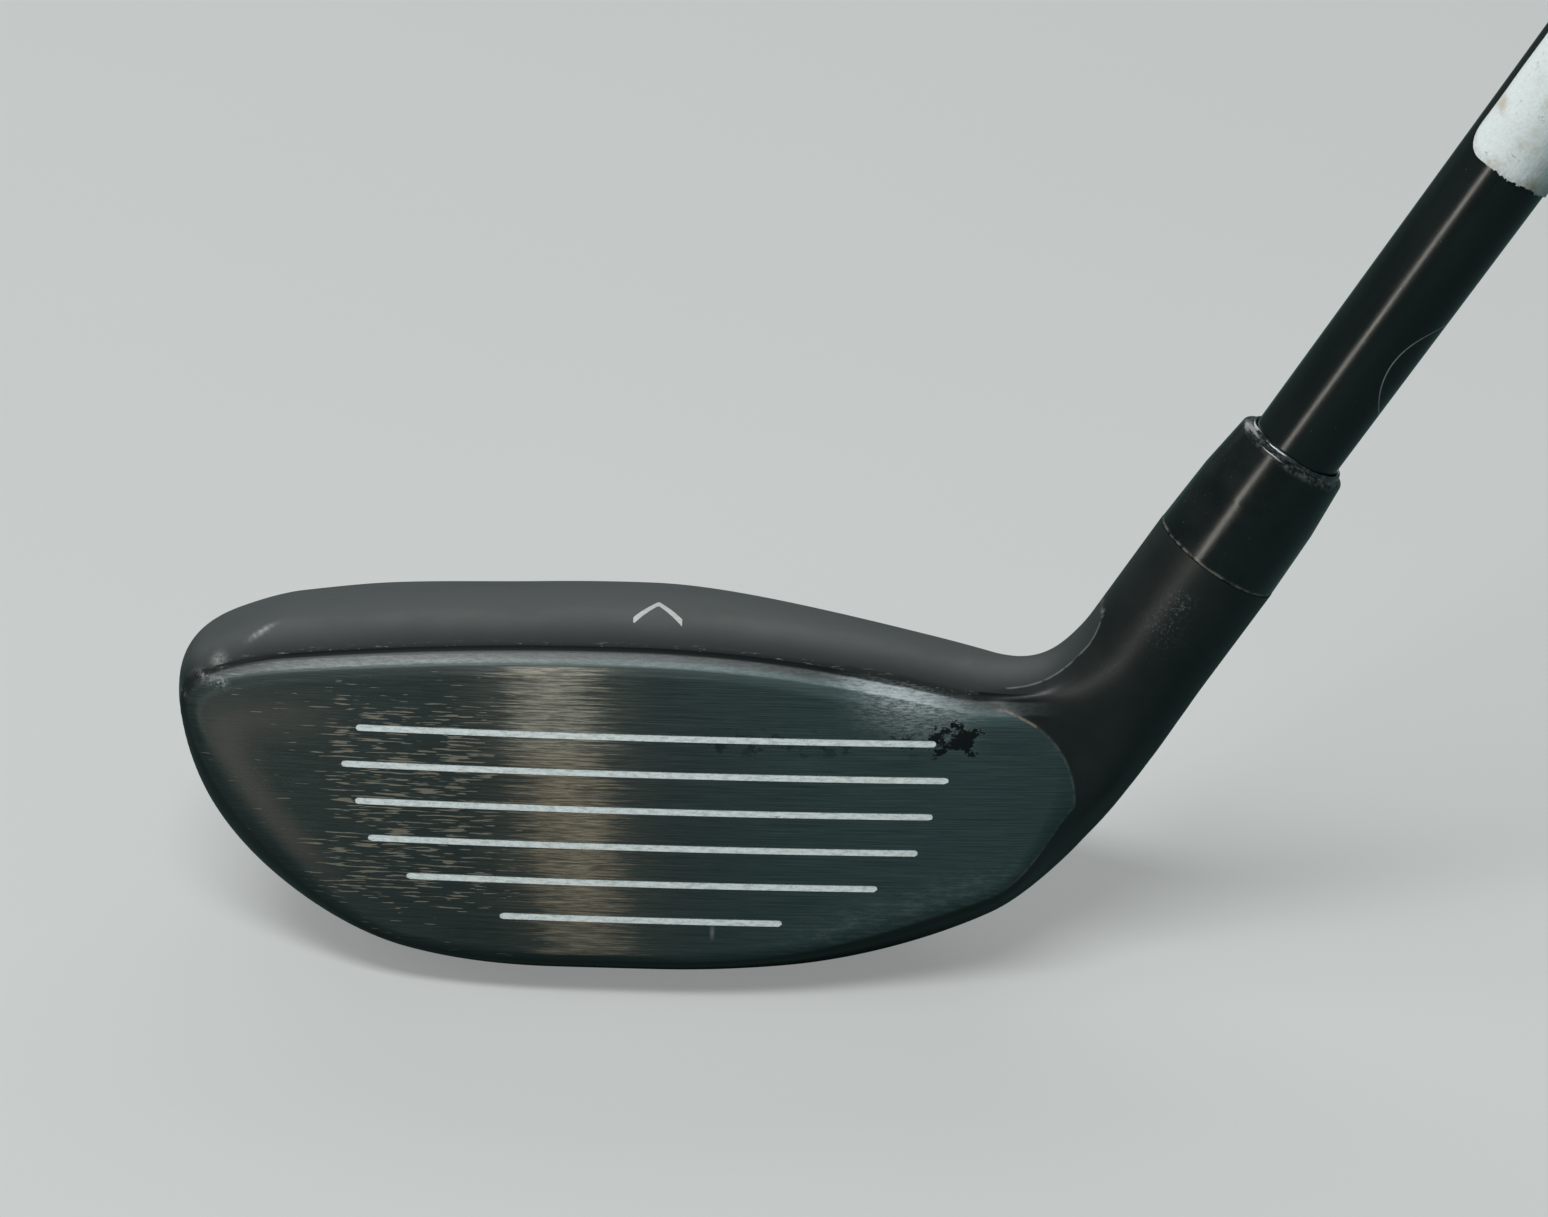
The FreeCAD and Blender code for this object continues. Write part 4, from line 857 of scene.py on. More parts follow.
def ferrule_plastic():
    s = Shader("ferrule_polished_plastic")
    wrap = s.attribute("wrap", vector=True)
    station, _, _ = s.split_vector(wrap)
    at = s.millimetres()
    polish = s.streaks(wrap, (5, 0.03, 0), 3, 0.6)
    cloud = s.noise(at, 0.35, 3)
    colour = s.mix(s.spread(cloud), (0.0045, 0.0075, 0.0072), (0.0075, 0.011, 0.0105))
    seam = s.times(s.rise(station, 53.1, 52.75), s.rise(s.noise(at, 1.1, 3), 0.35, 0.6))
    colour = s.mix(s.times(seam, 0.5), colour, (0.32, 0.29, 0.25))
    scuffs = s.rise(s.streaks(wrap, (1.2, 0.12, 0), 5, 0.8, (2, 6, 0)), 0.62, 0.7)
    colour = s.mix(s.times(scuffs, 0.2), colour, (0.15, 0.15, 0.14))
    # Lighter grey blotches round the top rim.
    top_rim_blotches = s.times(s.rise(station, 65.3, 65.9), s.rise(s.noise(at, 1.8, 4, 0.7), 0.42, 0.62))
    colour = s.mix(s.times(top_rim_blotches, 0.35), colour, (0.2, 0.21, 0.21))
    rough = s.plus(s.spread(cloud, 0.2, 0.25), s.times(scuffs, 0.2))
    s.set(Base_Color=colour, Roughness=rough, Specular_IOR_Level=0.55)
    s.bump(polish, 0.04, 0.00002)
    return s.material


def epoxy_resin():
    s = Shader("epoxy_black_resin")
    at = s.millimetres()
    cloud = s.noise(at, 1.3, 4, 0.6)
    colour = s.mix(s.rise(cloud, 0.4, 0.7), (0.01, 0.012, 0.013), (0.05, 0.06, 0.065))
    s.set(Base_Color=colour, Roughness=s.spread(cloud, 0.06, 0.16), Specular_IOR_Level=0.7)
    s.set(Coat_Weight=0.8, Coat_Roughness=0.04)
    s.bump(cloud, 0.6, 0.0001)
    return s.material


def shaft_gloss():
    """Gloss black lacquer over carbon fibre, rubbed dull in long patches, with one hairline arc scratch."""
    s = Shader("shaft_gloss_black")
    wrap = s.attribute("wrap", vector=True)
    station, angle, _ = s.split_vector(wrap)
    arc = s.times(angle, math.pi / 180 * 4.75)
    at = s.millimetres()
    cloud = s.streaks(wrap, (0.05, 0.02, 0), 4, 0.6)
    weave_a = s.streaks(wrap, (0.35, 0.35, 0), 3, 0.5)
    colour = s.mix(s.spread(cloud), (0.005, 0.0085, 0.008), (0.008, 0.012, 0.0115))
    colour = s.mix(s.times(s.rise(weave_a, 0.5, 0.75), 0.35), colour, (0.013, 0.017, 0.016))
    away = [s.calc("POWER", s.minus(at, middle), 2) for at, middle in ((station, 80.2), (arc, 22.6))]
    from_middle = s.calc("SQRT", s.plus(*away))
    scratch = s.times(
        s.bump_at(from_middle, 6.2, 0.11), s.rise(arc, 21.6, 20.4),
        s.rise(s.noise(at, 1.4, 4, 0.7), 0.32, 0.45))
    colour = s.mix(s.times(scratch, 0.9), colour, (0.5, 0.49, 0.47))
    hairs = s.rise(s.streaks(wrap, (0.1, 0.75, 0), 5, 0.8, (4, 2, 0)), 0.66, 0.7)
    colour = s.mix(s.times(hairs, 0.12), colour, (0.12, 0.12, 0.11))
    specks = s.times(s.rise(s.cells(at, 0.9), 0.06, 0.03), s.rise(s.noise(at, 0.2, 2), 0.5, 0.6))
    colour = s.mix(s.times(specks, 0.35), colour, (0.25, 0.25, 0.24))
    rough = s.plus(s.spread(cloud, 0.17, 0.23), s.times(hairs, 0.12))
    s.set(Base_Color=colour, Roughness=rough, Specular_IOR_Level=0.5)
    s.bump(s.minus(s.times(weave_a, 0.3), s.times(scratch, 0.8)), 0.15, 0.00005)
    return s.material


def label_paper():
    """White label paper, creased, with tea-coloured stains and a dirty torn edge."""
    s = Shader("label_stained_paper")
    wrap = s.attribute("wrap", vector=True)
    from_edge = s.attribute("from_edge")
    at = s.millimetres()
    fibre = s.noise(at, 3.2, 5, 0.75)
    cloud = s.noise(at, 0.22, 4, 0.65)
    crease = s.streaks(wrap, (0.22, 0.05, 0), 5, 0.75, (5, 1, 0))
    colour = s.mix(s.spread(fibre), (0.8, 0.83, 0.825), (0.9, 0.93, 0.925))
    colour = s.mix(s.rise(cloud, 0.5, 0.72, 0, 0.75), colour, (0.56, 0.47, 0.36))
    spots = s.rise(s.noise(at, 0.55, 4, 0.75), 0.6, 0.68)
    colour = s.mix(s.times(spots, 0.55), colour, (0.33, 0.22, 0.14))
    dirt = s.times(s.rise(from_edge, 1.1, 0), s.rise(fibre, 0.35, 0.6))
    colour = s.mix(s.times(dirt, 0.5), colour, (0.32, 0.29, 0.25))
    s.set(Base_Color=colour, Roughness=s.spread(fibre, 0.7, 0.9), Specular_IOR_Level=0.25)
    s.bump(s.plus(s.times(fibre, 0.35), crease), 0.45, 0.00022)
    return s.material


def grip_rubber(name, scale):
    s = Shader(name)
    at = s.millimetres()
    low = s.attribute("low")
    dust = s.noise(at, 0.1, 4, 0.7)
    grain = s.noise(at, scale, 4, 0.7)
    colour = s.mix(s.rise(dust, 0.35, 0.7), (0.013, 0.013, 0.0135), (0.024, 0.023, 0.022))
    colour = s.mix(s.times(low, 0.55), colour, (0.045, 0.042, 0.038))
    shine = s.rise(s.noise(at, 0.035, 2), 0.45, 0.65)
    rough = s.minus(s.spread(grain, 0.62, 0.8), s.times(shine, 0.14))
    s.set(Base_Color=colour, Roughness=rough, Specular_IOR_Level=0.35)
    s.bump(grain, 0.5, 0.00007)
    return s.material


# -------------------------------------------------------------- head assembled

GROOVE_HALF_LENGTHS = (29.5, 30.9, 29.4, 28.0, 24.0, 14.4)
GROOVE_PITCH, GROOVE_HALF_WIDTH = 3.74, 0.35
GROOVE_DEPTH, PAINT_RECESS = 0.45, 0.08
PLATE_INSET, PLATE_THICKNESS = 1.1, 2.3
PORT_POINT = np.array(joints["weight_turn"]["pos_m"]) / MM - HEAD_SHIFT
PORT_OUT = np.array(joints["weight_turn"]["axis"])
PORT_RADIUS, PORT_CHAMFER = 6.3, 0.3
BADGE_CENTRE, BADGE_LENGTH, BADGE_WIDTH = (-7.0, 15.0), 32.0, 13.0
MARK_X, MARK_TIP_Y, MARK_SPAN, MARK_STROKE = 0.8, 16.75, 5.0, 1.5
SHELL_THICKNESS, BADGE_THICKNESS, MARK_THICKNESS = 0.9, 0.55, 0.05


def bar_distance(a, b, length, width):
    """Distance outside a round-ended bar."""
    straight = length / 2 - width / 2
    return np.hypot(np.clip(np.abs(a) - straight, 0, None), b) - width / 2


def plate_field(points):
    _, depth, uncut, gap, _, _ = head_parts(points)
    return np.maximum(np.maximum(uncut, gap) + PLATE_INSET, -depth - 0.8)


def groove_field(points):
    depth, up = face_depth(*xyz(points))
    nearest = np.full(points.shape[:-1], 99.0)
    for index, half in enumerate(GROOVE_HALF_LENGTHS):
        level = (2.5 - index) * GROOVE_PITCH
        nearest = np.minimum(
            nearest, bar_distance(points[..., 0], up - level, 2 * half, 2 * GROOVE_HALF_WIDTH))
    return np.maximum(nearest, -depth - 0.8)


def seam_height(y):
    """Where the crown meets the casting, lower towards the back."""
    return 12.3 - 0.21 * (y - 4.0)


def crown_field(points):
    x, y, z = xyz(points)
    depth, _ = face_depth(x, y, z)
    seam = seam_height(y) - z
    around_neck = 15.0 - np.hypot(x - AXIS_X - 7.0, y - AXIS_Y)
    return np.maximum(np.maximum(seam, depth + 1.25), np.maximum(around_neck, x - AXIS_X - 2.0))


def mark_field(points):
    """Chevron that points back: arms rise 5 mm over half a span of 2.5 mm, stroke 1.5 mm."""
    x, y, z = xyz(points)
    off = np.abs(x - MARK_X)
    stroke = np.abs(y - (MARK_TIP_Y - 2.0 * off)) - MARK_STROKE / 2
    return np.maximum(np.maximum(stroke / math.sqrt(5.0), off - MARK_SPAN / 2), 5.0 - z)


def port_field(points):
    offset = points - PORT_POINT
    along = offset @ PORT_OUT
    across = np.linalg.norm(offset - along[..., None] * PORT_OUT, axis=-1)
    return np.maximum(across - PORT_RADIUS - PORT_CHAMFER, -along - 4.0)


def badge_field(points):
    a, b = points[..., 0] - BADGE_CENTRE[0], points[..., 1] - BADGE_CENTRE[1]
    return np.maximum(bar_distance(a, b, BADGE_LENGTH, BADGE_WIDTH), points[..., 2] + 3.0)


def near(points, centre, size):
    return np.exp(-(((points - np.array(centre)) / np.array(size)) ** 2).sum(-1))


def neck_paint_field(points):
    """Below zero where the crown's paint carries on over the neck, up to its masked edge."""
    x, y, z = xyz(points)
    corner = 1.6
    past_x, past_y = x - (46.1 - corner), (9.0 + corner) - y
    edge = np.hypot(np.clip(past_x, 0, None), np.clip(past_y, 0, None)) - corner
    edge = np.where((past_x < 0) & (past_y < 0), np.maximum(past_x, past_y) - corner, edge)
    return np.maximum(edge, seam_height(y) - z)


def paint_masks(obj):
    """Soft marks on the head: neck dust, toe nicks and the masked edge of the crown paint."""
    mesh = obj.data
    values = np.empty(len(mesh.vertices) * 3)
    mesh.vertices.foreach_get("co", values)
    points = values.reshape(-1, 3) / MM - HEAD_SHIFT
    dust = near(points, (53.4, 5.4, 24.2), (1.2, 3.0, 1.1))
    dust = dust + 0.5 * near(points, (51.8, 5.4, 21.4), (1.6, 3.0, 1.9))
    dust = dust + 0.6 * near(points, (57.4, 7.0, 18.2), (0.8, 2.0, 0.5))
    right, back = points[:, 0] + 39.9, points[:, 1] - 14.0
    along, across = 0.62 * right + 0.78 * back, 0.78 * right - 0.62 * back
    nick = np.exp(-((along / 1.5) ** 2) - (across / 0.42) ** 2) * (points[:, 2] > 9.0)
    for place in ((-44.0, 10.4, 12.8), (-45.4, 8.9, 11.5), (-43.7, 8.0, 11.3), (-47.9, 10.0, 9.5)):
        nick = nick + 0.7 * near(points, place, (0.8, 1.5, 0.45))
    paint = neck_paint_field(points)
    shown = (points[:, 1] < AXIS_Y + 4.0) & (points[:, 2] > 12.5) & (points[:, 0] > 36.5)
    store(mesh, "dust", np.clip(dust, 0, 1))
    store(mesh, "toe_nick", np.clip(nick, 0, 1))
    store(mesh, "paint", paint)
    store(mesh, "mask_line", np.where(shown, np.clip(1.0 - np.abs(paint) / 0.14, 0, 1), 0.0))


def build_face(points, polygons, metal):
    """Face plate with its grooves sunk in, and the white paint in them."""
    points, slots, flat = split(points, polygons, groove_field)
    normals = head_normals(points)
    points, both, used = compact(points, slots + flat)
    normals = normals[used]
    slots, flat = both[:len(slots)], both[len(slots):]
    count = len(points)
    floor = [tuple(i + count for i in polygon) for polygon in slots]
    back = [tuple(i + 2 * count for i in polygon) for polygon in reverse(both)]
    lips = [(a, b, b + count, a + count) for a, b in border(slots)]
    rim = [(b, a, a + 2 * count, b + 2 * count) for a, b in border(both)]
    shading = normals.tolist()
    layers = [
        (points, flat, shading),
        (points - normals * GROOVE_DEPTH, floor, None),
        (points - normals * PLATE_THICKNESS, lips + back + rim, None),
    ]
    face = head_piece("face_insert", layers, metal, ("face_plate",))
    paint_masks(face)
    paint = shell_layers(points, slots, normals, GROOVE_DEPTH - PAINT_RECESS - 0.02, -PAINT_RECESS)
    lines = head_piece("groove_fill", paint, groove_white(), ("groove_paint",))
    return face, lines


def port_cup():
    """Counterbore and threaded hole behind the sole, as rows around the port axis going inwards."""
    inner = [(-0.02, PORT_RADIUS + PORT_CHAMFER + 0.02), (0.30, PORT_RADIUS + 0.02), (4.8, PORT_RADIUS)]
    inner += [(4.8, 3.2), (5.05, 3.0), (12.4, 3.0), (13.2, 0.05)]
    outer = [(14.2, 0.05), (14.2, 8.2), (1.4, 8.4)]
    return [(-depth, radius) for depth, radius in inner + outer]


def build_head():
    points, polygons = head_skin()
    metal = head_metal("head_cast_metal")
    points, plate, rest = split(points, polygons, plate_field)
    face_points = points
    points, crown, rest = split(points, rest, crown_field)
    points, _, rest = split(points, rest, port_field)
    points, badge, rest = split(points, rest, badge_field)
    normals = head_normals(points)
    build_face(face_points, plate, metal)
    body = head_piece(
        "head_casting", shell_layers(points, rest, normals, SHELL_THICKNESS), metal, ("head_body",))
    paint_masks(body)
    top = head_piece(
        "crown_cover", shell_layers(points, crown, normals, SHELL_THICKNESS), crown_paint(),
        ("crown_shell",))
    paint_masks(top)
    mark_points, mark, _ = split(points, crown, mark_field)
    head_piece(
        "alignment_mark",
        shell_layers(mark_points, mark, head_normals(mark_points), MARK_THICKNESS, 0.02),
        mark_ink(), ("crown_mark",))
    badge_points, badge, _ = split(points, badge, lambda p: badge_field(p) + 0.12)
    head_piece(
        "sole_plaque",
        shell_layers(badge_points, badge, head_normals(badge_points), BADGE_THICKNESS, -0.04),
        badge_resin(), ("sole_badge",))
    return body


build_head()


# --------------------------------------------------------------- sole weight

PORT_FRAME = shaft_frame(PORT_POINT + HEAD_SHIFT, PORT_OUT)
SIDES = 96
SOCKET_HALF_WIDTH = 2.2
THREAD_ROOT, THREAD_CREST, THREAD_PITCH = 2.45, 2.92, 1.0
THREAD_START, THREAD_END = -4.4, -11.3


def weight_rows():
    """Weight screw rows from the socket floor out over the head and down the threaded shank."""
    angles = np.linspace(0, 2 * math.pi, SIDES, endpoint=False)
    sector = math.radians(60)
    hexagon = SOCKET_HALF_WIDTH / np.cos((angles % sector) - sector / 2)
    rows = [(-2.95, 0.05), (-2.9, hexagon - 0.1), (-2.8, hexagon), (-1.05, hexagon)]
    rows += [(-0.95, hexagon + 0.03), (-0.70, 2.95), (-0.70, 3.7), (-0.82, 3.8), (-0.82, 4.1)]
    rows += [(-0.70, 4.2), (-0.70, 5.6), (-0.74, 5.85), (-0.86, 6.02), (-1.05, 6.1), (-3.75, 6.1)]
    rows += [(-3.95, 6.0), (-4.0, 5.85), (-4.0, 3.1), (-4.15, 2.6), (-4.3, THREAD_ROOT)]
    station = THREAD_START
    while station > THREAD_END:
        turn = (station / THREAD_PITCH + angles / (2 * math.pi)) % 1.0
        ridge = np.clip(1.35 - np.abs(turn - 0.5) * 3.0, 0, 1)
        inside = min(THREAD_START - station, station - THREAD_END)
        ends = min(1.0, max(0.0, inside / 0.5))
        rows.append((station, THREAD_ROOT + (THREAD_CREST - THREAD_ROOT) * ridge * ends))
        station -= 0.11
    rows += [(-11.35, 2.4), (-11.6, 2.1), (-11.6, 0.05)]
    return rows


def build_weight():
    steel = machined_steel()
    dark, light = (0.020, 0.022, 0.022), (0.055, 0.057, 0.058)
    cup = plain_finish("port_bored_steel", dark, light, 0.8, (0.3, 0.5), 0.03, 0.6)
    lathe("weight_port", port_cup(), SIDES, PORT_FRAME, cup, "club", ("head_body",))
    lathe(
        "sole_weight", weight_rows()[::-1], SIDES, PORT_FRAME, steel, "weight", ("weight_screw",),
        closed=False, sharp=28)
    washer = rounded_profile([(-4.0, 3.05, 0.12), (-4.0, 5.9, 0.2), (-4.8, 5.9, 0.2), (-4.8, 3.05, 0.12)])
    nylon = plain_finish("washer_nylon", (0.03, 0.03, 0.032), (0.06, 0.06, 0.062), 0.7, (0.45, 0.6), 0.03)
    lathe("nylon_washer", washer[::-1], SIDES, PORT_FRAME, nylon, "washer", ("weight_washer",))


build_weight()


# ----------------------------------------------------- ferrule, shaft and label

HOSEL_STATION, FERRULE_TOP = 52.616, 66.3
TAPER_START, TAPER_END, BUTT_STATION = 67.4, 760.0, 1025.0
TIP_RADIUS, BUTT_RADIUS = 4.7, 7.62
LABEL_START, LABEL_END = 101.7, 160.0
LABEL_ANGLE, LABEL_SWEEP = 105.0, 225.0
LABEL_CORNER = 2.6


def shaft_radius(station):
    part = np.clip((station - TAPER_START) / (TAPER_END - TAPER_START), 0, 1)
    return TIP_RADIUS + (BUTT_RADIUS - TIP_RADIUS) * part


def build_ferrule():
    outline = rounded_profile([
        (HOSEL_STATION + 0.03, 4.82, 0), (HOSEL_STATION + 0.03, 6.78, 0.12),
        (60.0, 6.52, 3.0), (FERRULE_TOP - 0.25, 5.92, 0.55), (FERRULE_TOP, 5.2, 0.25),
        (FERRULE_TOP - 0.1, 4.82, 0)])
    lathe("ferrule_sleeve", outline, 128, CLUB_FRAME, ferrule_plastic(), "club", ("ferrule",))


def build_epoxy():
    """Bead of cured resin that stands round the shaft on the ferrule, thicker on one side."""
    count = 128
    angles = np.linspace(0, 2 * math.pi, count, endpoint=False)
    swell = 0.12 * np.sin(angles + 2.6) + 0.05 * np.sin(3 * angles + 0.6) + 0.03 * np.sin(7 * angles)
    rows = []
    for step in range(15):
        turn = math.pi * step / 14
        radius = 4.72 + (0.50 + 0.5 * swell) * (0.5 + 0.5 * math.cos(turn)) * 1.1
        height = FERRULE_TOP - 0.12 + (0.52 + swell) * math.sin(turn)
        rows.append((height, radius))
    rows += [(FERRULE_TOP - 4.0, 4.72), (FERRULE_TOP - 4.0, 4.80), (FERRULE_TOP - 0.3, 4.80)]
    lathe("epoxy_ring", rows, count, CLUB_FRAME, epoxy_resin(), "club", ("epoxy_bond",), sharp=70)


def build_shaft():
    stations = list(np.arange(29.0, 170.0, 2.0)) + list(np.linspace(170.0, TAPER_END, 100))
    stations += [900.0, BUTT_STATION - 0.4]
    rows = [(s, float(shaft_radius(s))) for s in stations]
    rows += [(BUTT_STATION, BUTT_RADIUS - 0.4), (BUTT_STATION, 6.6), (BUTT_STATION - 0.3, 6.5)]
    rows += [(TAPER_START, 3.1), (29.2, 3.1), (29.0, 3.3)]
    rows[0] = (29.3, TIP_RADIUS)
    rows.insert(0, (29.0, TIP_RADIUS - 0.3))
    lathe("shaft", rows, 128, CLUB_FRAME, shaft_gloss(), "club", ("shaft_tube",))


def build_label():
    """Paper wrapped part-way round the shaft: one rounded corner, a torn edge at the head end."""
    columns, lengthwise = 300, 90
    draws = np.random.RandomState(11)
    u = np.linspace(0, 1, columns)
    degrees = LABEL_ANGLE + LABEL_SWEEP * u
    across = np.radians(degrees - LABEL_ANGLE) * 4.85
    short = np.clip(LABEL_CORNER - across, 0, None)
    inset = np.where(short > 0, LABEL_CORNER - np.sqrt(LABEL_CORNER ** 2 - short ** 2), 0)
    tear = np.zeros(columns)
    for waves, height in ((5, 0.16), (13, 0.10), (31, 0.08), (70, 0.07)):
        knots = draws.uniform(-1, 1, waves + 2)
        tear += height * np.interp(u * waves, np.arange(waves + 2), knots)
    torn = np.clip((across - 3.0) / 2.0, 0, 1)
    fibres = draws.uniform(0, 1, columns) ** 3 * 0.28
    low = LABEL_START + inset + torn * (tear + 0.2 - fibres)
    v = np.linspace(0, 1, lengthwise) ** 2.2
    station = low[:, None] + (LABEL_END - low)[:, None] * v[None, :]
    from_edge = station - low[:, None]
    side_gap = np.minimum(across, across[-1] - across)[:, None]
    curl = 0.10 * np.exp(-from_edge / 0.7) * (0.5 + 0.5 * np.sin(degrees / 9.0))[:, None]
    curl = curl + 0.03 * np.exp(-side_gap / 0.5)
    wrinkle = 0.018 * np.sin(station * 0.9 + degrees[:, None] * 0.05) * np.sin(degrees[:, None] * 0.11)
    origin, first, second, axis = CLUB_FRAME
    turn = np.radians(degrees)
    radial = first * np.cos(turn)[:, None] + second * np.sin(turn)[:, None]
    sheets = []
    for lift in (0.12, 0.005):
        radius = shaft_radius(station) + lift + curl + wrinkle + 0.018
        sheets.append(origin + axis * station[..., None] + radial[:, None, :] * radius[..., None])
    count = columns * lengthwise
    points = np.vstack([sheet.reshape(-1, 3) for sheet in sheets])
    top = [(a, d, c, b) for a, b, c, d in grid(columns, lengthwise, closed_columns=False)]
    under = [tuple(k + count for k in face) for face in reverse(top)]
    walls = [(b, a, a + count, b + count) for a, b in border(top)]
    wrap = np.stack([station, np.broadcast_to(degrees[:, None], station.shape), station * 0], -1)
    mesh = smooth_mesh("paper_label", points, top + under + walls, 45, {
        "wrap": np.vstack([wrap.reshape(-1, 3)] * 2),
        "from_edge": np.concatenate([np.minimum(from_edge, side_gap + 0.4).ravel()] * 2)})
    link("paper_label", mesh, label_paper(), "club", ("shaft_label",))


build_ferrule()
build_epoxy()
build_shaft()
build_label()


# ------------------------------------------------------------------------ grip

GRIP_START, GRIP_FULL, GRIP_END = 763.0, 995.0, 1025.0
GRIP_LIP, GRIP_BORE = 1.2, 7.9
GRIP_FRONT_RADIUS, GRIP_BUTT_RADIUS = 9.7, 13.3
PATTERN_PANELS = ((781.0, 846.0), (856.0, 921.0), (931.0, 1003.0))


def grip_radius(station):
    part = np.clip((station - GRIP_START) / (GRIP_FULL - GRIP_START), 0, 1)
    return GRIP_FRONT_RADIUS + (GRIP_BUTT_RADIUS - GRIP_FRONT_RADIUS) * part


def grip_pattern(station, angles):
    """How deep the moulded pattern goes: crossing spiral cuts in long panels between plain bands."""
    turns = angles / (2 * math.pi)
    lean = (station - GRIP_START) / 52.0
    first = np.abs((turns * 18 + lean * 6) % 1.0 - 0.5)
    second = np.abs((turns * 18 - lean * 6) % 1.0 - 0.5)
    cuts = np.maximum(1 - first / 0.13, 1 - second / 0.13)
    panel = 0.0
    for start, end in PATTERN_PANELS:
        inside = ease(start - 0.8, start + 0.8, station) * ease(end + 0.8, end - 0.8, station)
        panel = max(panel, float(inside))
    stipple = np.sin(angles * 72) * np.sin(station * 2.9) * 0.06
    return np.clip(cuts, 0, 1) * panel, stipple * (1 - panel) * (1.0 if station > 779 else 0.0)


def build_grip():
    count = 360
    angles = np.linspace(0, 2 * math.pi, count, endpoint=False)
    rows, depths = [], []

    def row(station, radius, depth=0.0):
        rows.append((station, radius))
        depths.append(np.broadcast_to(np.asarray(depth, float), (count,)))

    row(GRIP_START, GRIP_BORE)
    for step in range(9):
        turn = math.pi / 2 * step / 8
        inwards = GRIP_LIP * (1 - math.sin(turn))
        row(GRIP_START + GRIP_LIP * (1 - math.cos(turn)), GRIP_FRONT_RADIUS - inwards)
    ring_rows = np.arange(GRIP_START + 1.5, GRIP_START + 14.0, 0.15)
    for station in ring_rows:
        groove = sum(
            math.exp(-((station - (GRIP_START + 4.0 + 3.0 * k)) / 0.42) ** 4) for k in range(3))
        row(station, grip_radius(station) - 0.45 * groove, groove)
    spacing = 0.6
    for station in np.arange(GRIP_START + 14.3, GRIP_END, spacing):
        cuts, stipple = grip_pattern(station, angles)
        row(station, grip_radius(station) - 0.38 * cuts + stipple, cuts)
    row(GRIP_END, GRIP_BUTT_RADIUS)
    row(GRIP_END, GRIP_BORE)
    rubber = grip_rubber("grip_moulded_rubber", 1.6)
    obj = lathe("grip_rubber", rows, count, CLUB_FRAME, rubber, "club", ("grip_sleeve",), sharp=60)
    store(obj.data, "low", np.concatenate(depths))


def build_cap():
    sides = 160
    corners = (
        (0.02, 1.6, 0), (0.02, 13.3, 0.25), (2.6, 13.3, 1.0), (4.0, 11.9, 0.9), (4.0, 9.6, 0.15),
        (3.5, 9.3, 0.15), (3.5, 8.3, 0.15), (4.0, 8.0, 0.15), (4.0, 1.95, 0.2), (3.6, 1.6, 0.1))
    cap = rounded_profile([(GRIP_END + height, radius, bend) for height, radius, bend in corners])
    rubber = grip_rubber("cap_moulded_rubber", 2.2)
    obj = lathe("grip_butt_cap", cap, sides, CLUB_FRAME, rubber, "club", ("grip_cap",))
    in_ring = [8.2 < radius < 9.4 and 3.0 < station - GRIP_END < 3.8 for station, radius in cap]
    store(obj.data, "low", np.repeat(np.array(in_ring, float), sides))


build_grip()
build_cap()


# ----------------------------------------------------------------- inner pieces

INNER_FINISHES = {
    "badge_adhesive": ((0.50, 0.49, 0.45), (0.66, 0.65, 0.60), 0.5, (0.5, 0.7), 0.03, 0.0),
    "hot_melt": ((0.42, 0.33, 0.14), (0.62, 0.54, 0.28), 0.3, (0.25, 0.5), 0.20, 0.0),
    "bore_plug": ((0.34, 0.34, 0.33), (0.48, 0.48, 0.46), 0.4, (0.5, 0.65), 0.05, 0.0),
    "tip_weight": ((0.42, 0.28, 0.10), (0.62, 0.45, 0.20), 0.5, (0.28, 0.42), 0.03, 0.95),
    "tip_plug": ((0.26, 0.15, 0.07), (0.48, 0.32, 0.18), 0.9, (0.75, 0.9), 0.20, 0.0),
    "grip_tape": ((0.56, 0.50, 0.38), (0.70, 0.64, 0.52), 0.4, (0.65, 0.85), 0.06, 0.0),
}

for node_name, (dark, light, scale, roughness, depth, metallic) in INNER_FINISHES.items():
    inner = frame["nodes"][node_name]
    finish = plain_finish(node_name + "_finish", dark, light, scale, roughness, depth, metallic)
    inner.data.materials.clear()
    inner.data.materials.append(finish)


# ------------------------------------------------------- floor, lights, camera

FLOOR_HALF_SIZE = 6.0
WORLD_GLOW = (0.50, 0.66, 0.65, 1)
WORLD_BACKDROP = (0.40, 0.41, 0.41, 1)
CAMERA_PLACE = (-0.02284, -0.43316, 0.22337)
CAMERA_TURN = (66.7942, -1.8024, 0.0908)
CAMERA_LENS, CAMERA_SENSOR = 107.31, 36.0
CLUB_HEAD, CLUB_NECK, CLUB_HIGH = (0.0, 0.0, 0.05), (0.04, 0.0, 0.09), (0.0, 0.0, 0.1)


def either(tree, switch, off, on):
    """Mixes two shader outputs by a switch."""
    choose = tree.nodes.new("ShaderNodeMixShader")
    for socket, output in zip(choose.inputs, (switch, off, on)):
        tree.links.new(output, socket)
    return choose.outputs[0]


def for_camera(tree, pale, dim):
    """The first output where the camera looks, the second in reflections."""
    return either(tree, tree.nodes.new("ShaderNodeLightPath").outputs["Is Camera Ray"], dim, pale)


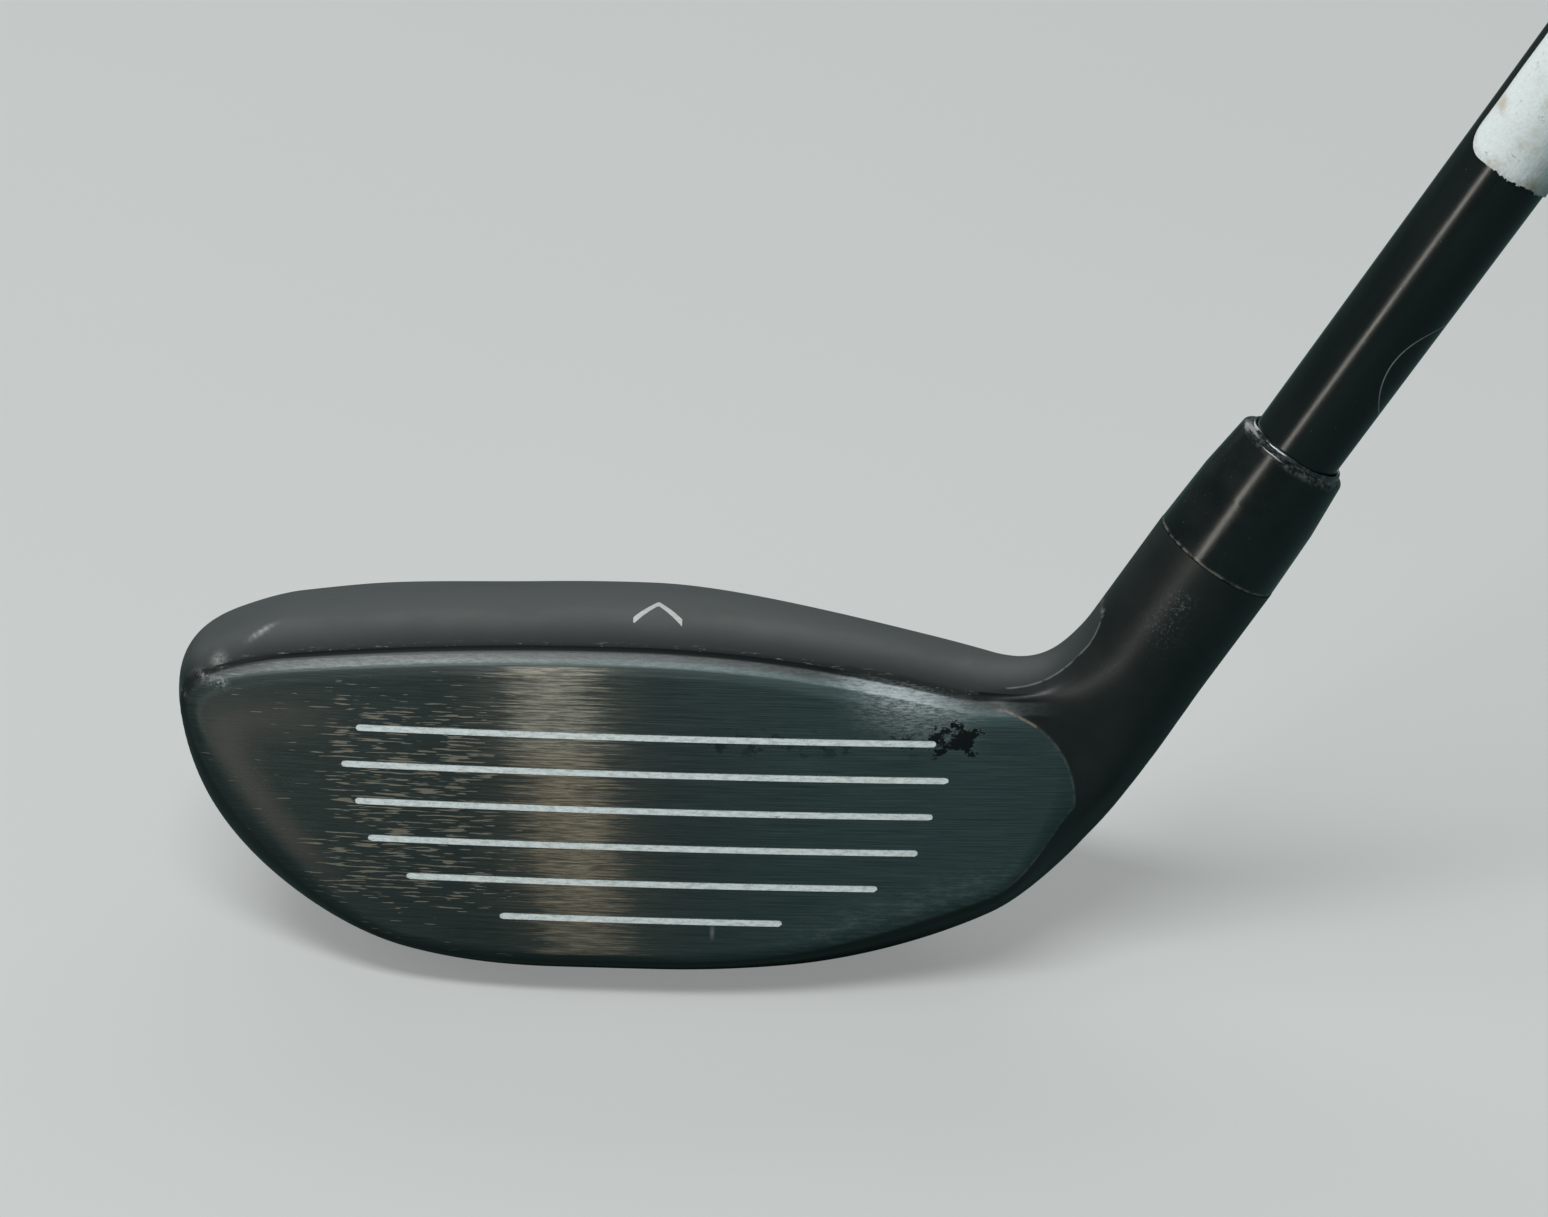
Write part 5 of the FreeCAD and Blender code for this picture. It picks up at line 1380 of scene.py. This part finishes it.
def build_floor():
    """Pale to the camera, darker in reflections, and see-through from below."""
    low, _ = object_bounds()
    corners = [(x, y, low.z) for x, y in np.array(((-1, -1), (1, -1), (1, 1), (-1, 1))) * FLOOR_HALF_SIZE]
    mesh = bpy.data.meshes.new("floor")
    mesh.from_pydata(corners, [], [(0, 1, 2, 3)])
    s = Shader("floor_pale")
    tone = s.noise(s.position(), 6)
    s.set(
        Base_Color=s.mix(tone, (0.36, 0.365, 0.36), (0.38, 0.385, 0.38)), Roughness=0.85,
        Specular_IOR_Level=0.1, Emission_Color=(0.97, 1, 0.99, 1), Emission_Strength=0.25)
    dark = s.node("ShaderNodeBsdfDiffuse", {"Color": (0.10, 0.165, 0.16, 1)})
    from_below = s.node("ShaderNodeNewGeometry", output="Backfacing")
    shown = for_camera(s.tree, s.surface.outputs[0], dark)
    shown = either(s.tree, from_below, shown, s.node("ShaderNodeBsdfTransparent"))
    s.plug(s.tree.nodes["Material Output"].inputs["Surface"], shown)
    mesh.materials.append(s.material)
    in_scene("floor", mesh)


def area_light(name, place, target, size, power, colour, diffuse=True, glossy=True):
    """Rectangular lamp; place and target are measured from the foot of the shaft."""
    data = bpy.data.lights.new(name, "AREA")
    data.shape = "RECTANGLE"
    data.size, data.size_y = size
    data.energy = power
    data.color = colour
    light = in_scene(name, data)
    light.location = Vector(FOOT) + Vector(place)
    light.rotation_euler = (Vector(target) - Vector(place)).to_track_quat("-Z", "Y").to_euler()
    light.visible_diffuse = diffuse
    light.visible_glossy = glossy


def build_lights():
    area_light("back_panel", (-0.25, 1.75, 1.15), CLUB_HEAD, (2.6, 0.9), 15, (0.97, 1, 0.99))
    area_light("front_panel", (-0.35, -0.80, 1.55), CLUB_HEAD, (1.2, 0.40), 24, (0.97, 1, 1))
    area_light(
        "left_strip", (-0.76, -0.86, 0.32), CLUB_NECK, (0.09, 0.55), 1.6, (1, 0.95, 0.87), diffuse=False)
    area_light("left_soft", (-1.5, -0.2, 0.9), CLUB_HIGH, (0.8, 0.8), 5, (0.95, 1, 0.98), glossy=False)


def build_world():
    """Dim surroundings for reflections; the camera sees a pale backdrop."""
    world = bpy.data.worlds.new("studio")
    bpy.context.scene.world = world
    world.use_nodes = True
    tree = world.node_tree
    dim, pale = tree.nodes["Background"], tree.nodes.new("ShaderNodeBackground")
    for glow, colour, strength in ((dim, WORLD_GLOW, 0.14), (pale, WORLD_BACKDROP, 1.0)):
        glow.inputs["Color"].default_value = colour
        glow.inputs["Strength"].default_value = strength
    shown = for_camera(tree, pale.outputs[0], dim.outputs[0])
    tree.links.new(shown, tree.nodes["World Output"].inputs["Surface"])


def build_camera():
    data = bpy.data.cameras.new("camera")
    data.lens, data.sensor_width = CAMERA_LENS, CAMERA_SENSOR
    data.clip_start, data.clip_end = 0.01, 50.0
    camera = in_scene("camera", data)
    camera.location = Vector(FOOT) + Vector(CAMERA_PLACE)
    camera.rotation_euler = [math.radians(angle) for angle in CAMERA_TURN]
    bpy.context.scene.camera = camera


build_floor()
build_lights()
build_world()
build_camera()
bpy.context.scene.view_settings.view_transform = "Standard"
